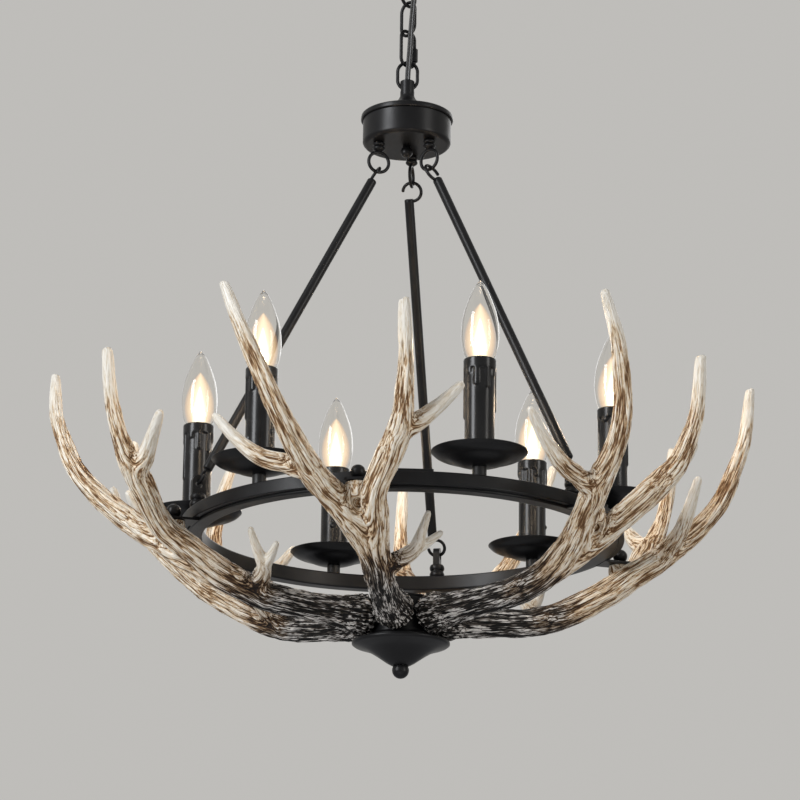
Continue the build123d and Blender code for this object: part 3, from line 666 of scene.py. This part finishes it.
# %% stem and dish
light_angles = [-70 + 60 * number for number in range(6)]
light_radius = 202
stem_outline = [(0.4, 0), (6.5, 0), (6.5, 9.5), (5, 9.5), (5, 60), (11.5, 60), (11.5, 106), (6.1, 106),
                (6.1, 87.4), (0.4, 87.4)]
stem = lathe("light_stem_1", soften(stem_outline, 0.6), 48)
dish_knots = [(5.4, 9.5), (9, 9.6), (15, 10.7), (22, 13), (29, 16.1), (35.5, 17.9), (40.5, 20.3), (43.3, 23)]
dish_under = through(dish_knots, 4)
dish_inside = [(radius - 0.25, height + 1.0) for radius, height in dish_under[::-1]]
dish = lathe("drip_dish_1", [*dish_under, (44, 23.6), (43.8, 24), *dish_inside[:-1], (5.4, 10.5)], 120)


# %% sleeve
sleeve_radius, wax_depth = 13.75, 1.25
sleeve_foot, sleeve_top = 11.7, 110
band_depth = 11
wax_runs = ((8, 30, 3.4), (42, 19, 4.4), (74, 50, 2.9), (112, 25, 4.2), (148, 16, 4.6), (184, 40, 3.2),
            (220, 21, 4.3), (255, 57, 2.8), (291, 17, 4.5), (327, 28, 3.8))
stray_drops = ((200, 62, 1.9), (95, 68, 1.7))


def wax_cover(turn, depth):
    """Gives the wax's share of its full thickness at an angle and a depth under the top."""
    def round_from(angle):
        return sleeve_radius * ((turn - radians(angle) + pi) % (2 * pi) - pi)

    def lump(off, width):
        return np.clip(1 - off / width ** 2, 0, 1) ** 2

    cover = np.clip(1 - ((depth - band_depth + 2.5) / 2.5).clip(0) ** 2, 0, 1) ** 2
    for angle, length, half_width in wax_runs:
        width = half_width * (0.82 + 0.18 * np.clip(depth / length, 0, 1) ** 3)
        off = round_from(angle) ** 2 + (depth - (length - half_width)).clip(0) ** 2
        cover = cover + lump(off, width)
    for angle, length, radius in stray_drops:
        off = round_from(angle) ** 2 + ((depth - length) / 1.3) ** 2
        cover = cover + lump(off, radius)
    return np.clip(cover, 0, 1.05) ** 0.5


columns = 132
turns = np.arange(columns) * 2 * pi / columns
rows = [(12.45, sleeve_foot), (12.45, sleeve_top - 0.5), (12.8, sleeve_top), (14.3, sleeve_top),
        (14.75, sleeve_top - 0.3)]
for depth in np.arange(1.0, sleeve_top - sleeve_foot, 0.85):
    rows.append((sleeve_radius + wax_depth * wax_cover(turns, depth), sleeve_top - depth))
rows.append((sleeve_radius, sleeve_foot))
levels = [np.stack([radii * np.cos(turns), radii * np.sin(turns), np.full(columns, height)], axis=1)
          for radii, height in rows]
sleeve_points = np.concatenate(levels)
sleeve = piece_from_rows("candle_sleeve_1", sleeve_points, len(rows), columns, closed=True)
sleeve_turns = (0, 95, 200, 310, 140, 250)
for number, angle in enumerate(light_angles, 1):
    for first, material, slot, node in ((stem, black_nylon, "black_plastic", "lampholders"),
                                        (dish, satin_black, "black_metal", "drip_dishes"),
                                        (sleeve, gloss_black, "gloss_black", "candle_sleeves")):
        piece = place(numbered(first, number), angle, light_radius)
        if first is sleeve:
            own_turn = Matrix.Rotation(radians(sleeve_turns[number - 1]), 4, "Z")
            piece.matrix_world = piece.matrix_world @ own_turn
        dress(piece, material, "fixture", slot, node)
print("sleeve points", len(sleeve_points))

# %% [markdown]
# The bulb is a thin clear shell with a wall, so its glass bends light twice, as real glass does. A
# camera sees a burning filament as a white core with a warm halo. Two drop-shaped bodies, one in the
# other, stand for that: they shine, and Layer Weight lets them fade to nothing at their edges.

# %% bulb finishes
clear_glass, nodes, links, shader = new_material("clear bulb glass")
set_values(shader, Base_Color=(0.97, 0.96, 0.94, 1), Roughness=0.0, IOR=1.45, Transmission_Weight=1.0)



def shining(name, strength, fade_stops):
    """Starts a glow that only shines, most where it faces the eye. Its colour is still to be set."""
    material, nodes, links, shader = new_material(name)
    set_values(shader, Base_Color=(0, 0, 0, 1), Roughness=1.0, Specular_IOR_Level=0.0,
               Emission_Strength=strength)
    edge = nodes.new("ShaderNodeLayerWeight")
    fade = value_ramp(nodes, fade_stops)
    links.new(edge.outputs["Facing"], fade.inputs["Fac"])
    links.new(fade.outputs["Color"], shader.inputs["Alpha"])
    return material, nodes, links, shader, edge


halo_fade = ((0.0, 0.8), (0.12, 0.5), (0.3, 0.28), (0.55, 0.12), (0.8, 0.03), (1.0, 0.0))
halo, nodes, links, shader, edge = shining("filament glow", 1.5, halo_fade)
warmth_stops = ((0.0, (1.0, 0.86, 0.64)), (0.4, (1.0, 0.68, 0.38)), (1.0, (1.0, 0.46, 0.18)))
warmth = value_ramp(nodes, warmth_stops, colour=True)
links.new(edge.outputs["Facing"], warmth.inputs["Fac"])
links.new(warmth.outputs["Color"], shader.inputs["Emission Color"])

core_fade = ((0.0, 1.0), (0.2, 0.62), (0.5, 0.25), (0.8, 0.06), (1.0, 0.0))
core, nodes, links, shader, edge = shining("filament core", 3.0, core_fade)
set_values(shader, Emission_Color=(1.0, 0.86, 0.62, 1))

# %% bulbs
glass_low = 106.3
shell_knots = ((9, 0), (12.6, 5), (15.6, 12.8), (17.45, 27), (15.4, 46.4), (8.9, 65.6), (4.4, 74.5),
               (1.5, 79))
shell = through([(radius, glass_low + height) for radius, height in shell_knots], 6)
shell_inside = [(max(0.3, radius - 0.7), min(height, glass_low + 76)) for radius, height in shell[::-1]]
glass = lathe("bulb_shell_1", [*shell, (0.3, glass_low + 79.9), *shell_inside], 72)
thread_pitch, thread_middle, thread_depth = 2.82, 5.55, 0.38
thread = [(thread_middle + thread_depth * sin(2 * pi * height / thread_pitch), 89.6 + height)
          for height in np.linspace(0, 15.2, 61)]
screw_outline = [(0.3, 87.8), (2.4, 87.8), (3, 88.3), (3, 89.2), (5, 89.3), *thread, (5.9, 106.2),
                 (0.3, 106.2)]
screw = lathe("bulb_screw_1", screw_outline, 40)
halo_knots = [(0.3, 107.2), (8.5, 108.5), (12.5, 116), (14.6, 126), (13.8, 138), (9.8, 150),
              (4.6, 159), (0.3, 164)]
core_knots = [(0.3, 107.6), (4.8, 109), (6.6, 115), (7.4, 122), (6.4, 130), (4.2, 138),
              (2.2, 145), (0.3, 150)]
halo_body = lathe("bulb_glow_1", through(halo_knots, 4), 48, closed=False)
core_body = lathe("bulb_core_1", through(core_knots, 4), 48, closed=False)
mount_outline = [(0.3, 106.6), (6.5, 106.6), (4.2, 109), (2.3, 113), (2.0, 124), (0.3, 125)]
mount = lathe("bulb_mount_1", mount_outline, 24)
filament_knots = [(-2, 0, 112), (-3, 0, 124), (-4.6, 0, 132), (0, 0, 134.5), (4.6, 0, 132), (3, 0, 124),
                  (2, 0, 112)]
filament = sweep("bulb_filament_1", through(filament_knots, 6), circle(0.35, 8), side=(0, 1, 0))
bulb_pieces = ((glass, clear_glass, "bulb_glass", ["bulb_glass"]),
               (screw, screw_brass, "bulb_screw", ["bulb_base"]),
               (halo_body, halo, "bulb_glass", []), (core_body, core, "bulb_glass", []),
               (mount, clear_glass, "bulb_glass", []), (filament, plated_steel, "bulb_screw", []))
for number, angle in enumerate(light_angles, 1):
    for first, material, slot, stands_for in bulb_pieces:
        piece = place(numbered(first, number), angle, light_radius)
        dress(piece, material, f"bulb_{number}", slot, *[f"{node}_{number}" for node in stands_for])
        piece.visible_shadow = material not in (clear_glass, halo, core)
print("bulbs", number)

# %% [markdown]
# ## Antlers
# One casting is used six times. Its branches are smooth lines through listed knots, each with
# its own radius. The tubes round them overlap, a voxel remesh makes them one skin, and a Smooth
# modifier fills the forks the way real antler webs there.

# %% branch lines
antler_branches = (
    ((29.6, 0, -86.5, 14.5), (33, 0, -86.5, 17.4), (40, 0, -86.5, 19.2), (52, 0, -86, 18),
     (66, 0, -85.5, 15.4), (98, 1, -83, 14.2), (140, 4, -77.5, 14.4), (175, 4, -64, 14.4),
     (204, -5, -48, 14), (229, -18, -30, 13.4), (255, -36, -11, 12.6), (300, -58, 34, 9.8),
     (319, -84, 94, 7.3), (318.5, -103, 141, 4.6), (318, -104.5, 146.2, 2.2)),
    ((255, -36, -11, 10), (254, -58, -4, 9.4), (253.5, -82, 4, 8.2), (252, -106, 23, 6), (252, -123.5, 42, 4),
     (252, -125, 46.4, 2)),
    ((110, 2, -81, 11), (150, 6, -73.5, 13.2), (180, 8, -61, 13.2), (215, 14, -42, 12.8), (244, 20, -23, 12),
     (272, 42, 11, 12.4), (287, 50.5, 31, 10.2), (303, 55.5, 73, 7.2), (309, 54.8, 122, 5.2),
     (309.5, 54.4, 126.6, 2.4)),
    ((275, 43, 14, 10), (272, 62, 26, 8.6), (271, 82, 42, 6.4), (270, 97.5, 57, 4.2),
     (270, 100.6, 60.6, 2.2)),
    ((143, 4, -74, 11), (147, 24, -66, 9), (149, 38, -58, 7), (159, 46.5, -44, 4.6), (167, 53.4, -29.5, 2.8),
     (168, 54.3, -27.4, 1.6)),
    ((148, 32, -61, 6.4), (146, 48, -52, 4.6), (144.6, 60.8, -42.6, 2.7), (144.2, 62.8, -41, 1.5)),
    ((180, 2, -61, 12), (205, 1, -46, 12), (220, 0, -36, 11)),
    ((227, 0, -31, 8), (226, 0, -26, 11.2), (226, 0, -14.9, 11.2)),
)
line_step = 1.5


def even_line(knots):
    """Draws a branch as places a short even step apart, each with its radius."""
    line = through(knots, 12)
    travel = np.concatenate([[0], np.cumsum(np.linalg.norm(np.diff(line[:, :3], axis=0), axis=1))])
    marks = np.linspace(0, travel[-1], ceil(travel[-1] / line_step))
    return np.stack([np.interp(marks, travel, line[:, value]) for value in range(4)], axis=1), marks


# %% one skin
voxel = 1.15
lines = [even_line(knots) for knots in antler_branches]
form = bmesh.new()
for line, marks in lines:
    tube = sweep("branch", line[:, :3], circle(1, 24), line[:, 3], side=(0, 1, 0.02))
    form.from_mesh(tube.data)
    bpy.data.objects.remove(tube)
casting_mesh = bpy.data.meshes.new("antler")
form.to_mesh(casting_mesh)
form.free()
casting = add_object("antler pattern", casting_mesh)
remesh = casting.modifiers.new("skin", "REMESH")
remesh.mode = "VOXEL"
remesh.voxel_size = voxel * mm
blend = casting.modifiers.new("webs", "SMOOTH")
blend.factor = 0.5
blend.iterations = 7
settle(casting)
print("antler skin points", len(casting.data.vertices))

# %% [markdown]
# ## The grain of an antler
# Antler grows in long ridges that follow each branch and split where it forks. For that the mesh
# needs its own map: how far along the branch each point lies, and how far off its middle line. A
# child branch takes over its parent's directions where it starts, and near a fork the maps of the
# two are mixed, so ridges run on into both branches.

# %% flow map
def branch_frames(line, first_across):
    """Carries two crosswise directions along a branch without twist."""
    runs = np.gradient(line[:, :3], axis=0)
    runs = runs / np.linalg.norm(runs, axis=1)[:, None]
    across = np.zeros_like(runs)
    side = np.asarray(first_across, float)
    for index, run in enumerate(runs):
        side = unit(side - run * np.dot(side, run))
        across[index] = side
    return runs, across, np.cross(runs, across)


grain_paths = []
for line, marks in lines:
    side, start = (0, 1, 0), 0.0
    if grain_paths:
        gaps = [np.linalg.norm(parent[0][:, :3] - line[0, :3], axis=1) for parent in grain_paths]
        closest = int(np.argmin([gap.min() for gap in gaps]))
        nearest = int(np.argmin(gaps[closest]))
        parent = grain_paths[closest]
        side, start = parent[3][nearest], parent[1][nearest]
    runs, across, over = branch_frames(line, side)
    grain_paths.append((line, marks + start, runs, across, over))

skin = casting.data


def of_points(label):
    """Reads three values of every point of the skin."""
    values = np.empty(len(skin.vertices) * 3)
    skin.vertices.foreach_get(label, values)
    return values.reshape(-1, 3)


places = of_points("co") / mm
normals = of_points("normal")

mix_width = 3.5
whole_antler = 400
blunt_end = 3
block_size = 4000
offs, flows, reaches, lefts = [], [], [], []
for line, marks, runs, across, over in grain_paths:
    nearest = np.empty(len(places), int)
    off = np.empty(len(places))
    for first in range(0, len(places), block_size):
        block = slice(first, first + block_size)
        gaps = np.linalg.norm(places[block, None] - line[None, :, :3], axis=2) - line[None, :, 3]
        nearest[block] = gaps.argmin(axis=1)
        off[block] = gaps.min(axis=1)
    away = places - line[nearest, :3]
    along = marks[nearest] + (away * runs[nearest]).sum(axis=1)
    aside = (away * across[nearest]).sum(axis=1)
    above = (away * over[nearest]).sum(axis=1)
    flows.append(np.stack([aside, above, along], axis=1))
    reaches.append(marks[nearest])
    lefts.append(marks[-1] - marks[nearest] + (0 if line[-1, 3] < blunt_end else whole_antler))
    offs.append(off)
offs = np.array(offs)
weights = np.exp(-(offs - offs.min(axis=0)) / mix_width)
weights = weights / weights.sum(axis=0)
flow = (np.array(flows) * weights[:, :, None]).sum(axis=0)
reach = (np.array(reaches) * weights).sum(axis=0)
left = (np.array(lefts) * weights).sum(axis=0)
print("reach of the longest branch", round(float(reach.max()), 1))

# %% [markdown]
# Noise drawn out along the flow gives long ridges, with a groove wherever it passes through zero. A
# wide and a narrow set cross each other at a low angle, near the hub they are shorter and braided,
# and the tips are worn smooth. The depth is kept as an attribute, so the paint can lie in the grooves,
# and painted shade with it.
# The noise gets a seed, so that every run carves the same ridges.

# %% carve the ridges
def eased(values, low, high):
    """Goes smoothly from 0 to 1 between two values."""
    share = np.clip((values - low) / (high - low), 0, 1)
    return share * share * (3 - 2 * share)


def noise_at(spots):
    """Gives the noise at many places."""
    return np.array([noise.noise(Vector(spot)) for spot in spots])


def drawn_noise(width, length, shift):
    """Gives noise whose lumps are narrow across the flow and long along it."""
    return noise_at(wandering / (width, width, length) + (shift, 2.7 * shift, -1.3 * shift))


def creases(width, length, shift, sharpness):
    """Gives 1 along the lines where drawn-out noise passes through zero, and 0 away from them."""
    return np.exp(-(drawn_noise(width, length, shift) / sharpness) ** 2)


noise.seed_set(7)
wander_size, wander_depth = 20, 1.6
wanderings = np.array([noise.noise_vector(Vector(spot / wander_size)) for spot in places])
wandering = flow + wander_depth * wanderings
root_share = 1 - eased(reach, 70, 170)
burr = 1 - eased(reach, 6, 24)
worn = eased(left, 4, 85)
long_grooves = creases(6.2, 70, 3.1, 0.22)
short_grooves = creases(3.5, 30, 8.6, 0.25)
braid = creases(4.2, 15, 5.5, 0.26)
swell = drawn_noise(8.0, 34, 1.7)
pebble_size = 2.9
pebbles = noise_at(places / pebble_size)
swell_height, long_depth, short_depth, braid_depth, burr_height, lift = 0.5, 1.25, 0.75, 0.9, 2.6, 0.35
carving = swell_height * swell - long_depth * long_grooves - short_depth * short_grooves
depth = carving * (0.12 + 0.88 * worn) * (1 - 0.35 * root_share)
depth = depth - root_share * braid_depth * braid + burr * burr_height * pebbles + lift
tab_reach = 13
under_tab = eased(places[:, 2], -19, -15.2) * (np.hypot(places[:, 0] - nut_radius, places[:, 1]) < tab_reach)
depth = depth * (1 - under_tab)
moved = places + normals * depth[:, None]
moved[:, 0] = moved[:, 0].clip(antler_branches[0][0][0])
skin.vertices.foreach_set("co", (moved * mm).ravel())
skin.update()
for label, values in (("reach", reach), ("left", left), ("groove", depth)):
    attribute = skin.attributes.new(label, "FLOAT", "POINT")
    attribute.data.foreach_set("value", values.astype(np.float32))
grain = skin.attributes.new("flow", "FLOAT_VECTOR", "POINT")
grain.data.foreach_set("vector", flow.astype(np.float32).ravel())
skin.polygons.foreach_set("use_smooth", [True] * len(skin.polygons))
print("depth from", round(float(depth.min()), 2), "to", round(float(depth.max()), 2))

# %% [markdown]
# The casting is painted from dark to light. Each zone has its own ramp from groove to ridge: charcoal
# at the hub, brown horn in the middle, pale horn on the arms and ivory at the tips. Each ramp is darkest
# in the grooves and near white on the ridges. That is partly the casting's own dark wash and dry-brushed
# ridges, and partly painted shade in the grooves and painted highlights on the ridges. Masks made from
# the reach and from what is left of the branch blend the zones, with some noise so that no edge shows.

# %% antler paint
antler_paint_and_shade, nodes, links, shader = new_material("antler paint")


def attribute_of(name, output="Fac"):
    """Reads one of the mesh's own values."""
    node = nodes.new("ShaderNodeAttribute")
    node.attribute_name = name
    return node.outputs[output]


def stretched_noise(across, along, detail=4.0):
    """Makes noise along the flow, from its scales across and along it per millimetre."""
    mapping = nodes.new("ShaderNodeMapping")
    set_values(mapping, Scale=(across, across, along))
    texture = nodes.new("ShaderNodeTexNoise")
    set_values(texture, Scale=1.0, Detail=detail)
    links.new(attribute_of("flow", "Vector"), mapping.inputs["Vector"])
    links.new(mapping.outputs["Vector"], texture.inputs["Vector"])
    return texture.outputs["Fac"]


def remap(value, low, high, to_low=0.0, to_high=1.0):
    """Turns a range of a value smoothly into another range."""
    node = nodes.new("ShaderNodeMapRange")
    node.interpolation_type = "SMOOTHSTEP"
    set_values(node, From_Min=low, From_Max=high, To_Min=to_low, To_Max=to_high)
    links.new(value, node.inputs["Value"])
    return node.outputs["Result"]


def worked(operation, first, second):
    """Adds, subtracts or multiplies two values, of which the second may be a number."""
    node = nodes.new("ShaderNodeMath")
    node.operation = operation
    links.new(first, node.inputs[0])
    if isinstance(second, (int, float)):
        node.inputs[1].default_value = second
    else:
        links.new(second, node.inputs[1])
    return node.outputs["Value"]


def socket_of(sockets, identifier):
    """Finds a socket of a Mix node, which has several of each label."""
    return next(socket for socket in sockets if socket.identifier == identifier)


def painted(under, over, cover):
    """Lays one colour over another by a mask."""
    node = nodes.new("ShaderNodeMix")
    node.data_type = "RGBA"
    links.new(under, socket_of(node.inputs, "A_Color"))
    links.new(over, socket_of(node.inputs, "B_Color"))
    links.new(cover, socket_of(node.inputs, "Factor_Float"))
    return socket_of(node.outputs, "Result_Color")


def thin_lines(across, along, width):
    """Draws thin lines along the flow, where a drawn-out noise passes through its middle."""
    middle = worked("SUBTRACT", stretched_noise(across, along, 2.0), 0.5)
    return remap(worked("ABSOLUTE", middle, 0.0), 0.0, width, 1.0, 0.0)


fleck = stretched_noise(0.95, 0.16, 4.0)
patch = stretched_noise(0.05, 0.02, 2.0)
long_lines = thin_lines(0.33, 0.016, 0.085)
short_lines = thin_lines(0.75, 0.06, 0.085)
wander = worked("MULTIPLY", worked("SUBTRACT", patch, 0.5), 120.0)
at_root = remap(worked("ADD", attribute_of("reach"), wander), 100, 175, 1.0, 0.0)
at_middle = remap(worked("ADD", attribute_of("reach"), wander), 135, 215, 1.0, 0.0)
at_tip = remap(worked("ADD", attribute_of("left"), worked("MULTIPLY", wander, 0.5)), 8, 78, 1.0, 0.0)
line_depth = remap(at_tip, 0.0, 1.0, 1.0, 0.55)
# The thin lines darken the colour along fine cracks. This is partly the cracks' own dark wash and partly
# painted shade in them.
lines_both = worked("ADD", worked("MULTIPLY", long_lines, 0.52), worked("MULTIPLY", short_lines, 0.34))
level = remap(attribute_of("groove"), -1.6, 0.4, 0.34, 0.72)
level = worked("ADD", level, worked("MULTIPLY", fleck, 0.30))
level = worked("SUBTRACT", level, worked("MULTIPLY", lines_both, line_depth))
height = remap(level, -0.1, 0.95)

# Each ramp's dark end is partly painted shade in the grooves and cracks. Its light end is partly a painted
# highlight on the ridges.
zones = {
    "arm": ((0.0, (0.11, 0.052, 0.02)), (0.22, (0.32, 0.185, 0.088)), (0.42, (0.58, 0.42, 0.25)),
            (0.60, (0.74, 0.61, 0.44)), (1.0, (0.85, 0.80, 0.70))),
    "middle": ((0.0, (0.016, 0.007, 0.003)), (0.25, (0.11, 0.052, 0.020)), (0.45, (0.33, 0.195, 0.092)),
               (0.65, (0.58, 0.41, 0.24)), (1.0, (0.86, 0.79, 0.67))),
    "root": ((0.0, (0.001, 0.001, 0.001)), (0.35, (0.007, 0.0055, 0.004)), (0.56, (0.034, 0.026, 0.020)),
             (0.68, (0.15, 0.128, 0.108)), (0.84, (0.68, 0.65, 0.61))),
    "tip": ((0.0, (0.30, 0.205, 0.115)), (0.35, (0.50, 0.405, 0.28)), (0.6, (0.61, 0.545, 0.44)),
            (1.0, (0.74, 0.71, 0.64))),
}
colours = {}
for zone, stops in zones.items():
    ramp = value_ramp(nodes, stops, colour=True)
    links.new(height, ramp.inputs["Fac"])
    colours[zone] = ramp.outputs["Color"]
coat_and_shade = painted(colours["arm"], colours["middle"], at_middle)
coat_and_shade = painted(coat_and_shade, colours["root"], at_root)
coat_and_shade = painted(coat_and_shade, colours["tip"], at_tip)
links.new(coat_and_shade, shader.inputs["Base Color"])
links.new(remap(level, 0.0, 0.8, 0.75, 0.32), shader.inputs["Roughness"])
set_values(shader, Specular_IOR_Level=0.25)
add_bump(nodes, links, shader, level, 0.8, 0.0012)

for number, angle in enumerate(antler_angles, 1):
    turned = Matrix.Translation((0, 0, ring_top)) @ Matrix.Rotation(radians(angle), 4, "Z")
    mesh = skin.copy()
    mesh.name = f"antler_casting_{number}"
    mesh.transform(turned)
    dress(add_object(mesh.name, mesh), antler_paint_and_shade, "fixture", "antler_resin", f"antler_{number}")
bpy.data.objects.remove(casting)
print("antlers", number)

# %% [markdown]
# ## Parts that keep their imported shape
# The mounting bar and the lock nut inside the ceiling plate are plain in life too, so the packed
# solids stay and only get the plated finish.

# %% plated parts inside the ceiling plate
for node in ("crossbar", "canopy_nut"):
    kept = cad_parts[node]
    kept.data.materials.clear()
    kept.data.materials.append(plated_steel)
    print("kept", node)

# %% [markdown]
# ## Room and light
# The fixture hangs over a plain pale floor. Four big soft lamps stand at the left, at the right,
# behind and below, so that the black paint shows long quiet highlights, and the world fills the rest.
# Six small warm lamps stand in the bulbs. Rays that come from the camera, from a mirror or through
# glass see a pale grey room.

# %% floor and world
floor_height = -2.3
half_floor = 6.0
floor = new_piece("floor", [(x * half_floor / mm, y * half_floor / mm, 0) for x, y in
                            ((-1, -1), (1, -1), (1, 1), (-1, 1))], [(0, 1, 2, 3)])
floor.location = (0, 0, floor_height)
floor_paint, nodes, links, shader = new_material("pale floor")
set_values(shader, Base_Color=(0.62, 0.61, 0.60, 1), Roughness=0.8)
floor.data.materials.append(floor_paint)

world = bpy.data.worlds.new("room")
bpy.context.scene.world = world
world.use_nodes = True
nodes, links = world.node_tree.nodes, world.node_tree.links
fill = nodes["Background"]
set_values(fill, Color=(0.86, 0.90, 1.0, 1), Strength=0.26)
backdrop = nodes.new("ShaderNodeBackground")
set_values(backdrop, Color=(0.52, 0.51, 0.49, 1), Strength=1.0)
rays = nodes.new("ShaderNodeLightPath")
seen_value = rays.outputs["Is Camera Ray"]
for label in ("Is Glossy Ray", "Is Transmission Ray"):
    seen = nodes.new("ShaderNodeMath")
    seen.operation = "MAXIMUM"
    links.new(seen_value, seen.inputs[0])
    links.new(rays.outputs[label], seen.inputs[1])
    seen_value = seen.outputs["Value"]
mixed = nodes.new("ShaderNodeMixShader")
links.new(seen_value, mixed.inputs["Fac"])
links.new(fill.outputs["Background"], mixed.inputs[1])
links.new(backdrop.outputs["Background"], mixed.inputs[2])
links.new(mixed.outputs["Shader"], nodes["World Output"].inputs["Surface"])


# %% lamps
aim_over_ring = 0.05


def add_lamp(name, kind, power, colour):
    """Adds a lamp of a kind, power and colour."""
    data = bpy.data.lights.new(name, kind)
    data.energy = power
    data.color = colour
    return add_object(name, data)


def soft_lamp(name, offset, power, width, height, colour):
    """Hangs a rectangular lamp that faces the middle of the fixture."""
    lamp = add_lamp(name, "AREA", power, colour)
    lamp.data.shape = "RECTANGLE"
    lamp.data.size, lamp.data.size_y = width, height
    lamp.location = Vector((0, 0, ring_top + aim_over_ring)) + Vector(offset)
    lamp.rotation_euler = (-Vector(offset)).to_track_quat("-Z", "Y").to_euler()
    lamp.visible_transmission = False


soft_lamp("window", (-2.2, -1.9, 0.9), 104, 1.0, 2.6, (0.95, 0.97, 1.0))
soft_lamp("fill", (2.4, -1.7, 0.3), 34, 0.7, 2.6, (1.0, 0.98, 0.95))
soft_lamp("behind", (0.6, 2.4, 1.2), 14, 2.4, 1.2, (1.0, 1.0, 1.0))
soft_lamp("below", (0.0, -1.2, -1.6), 5, 2.0, 1.2, (1.0, 0.98, 0.95))

bulb_middle = 122
for number, angle in enumerate(light_angles, 1):
    lamp = add_lamp(f"filament_{number}", "POINT", 0.35, (1.0, 0.76, 0.52))
    lamp.data.shadow_soft_size = 0.006
    lamp.location = across_at(angle) * light_radius * mm + np.array((0, 0, ring_top + bulb_middle * mm))
bpy.context.scene.view_settings.view_transform = "Standard"
print("lamps placed")
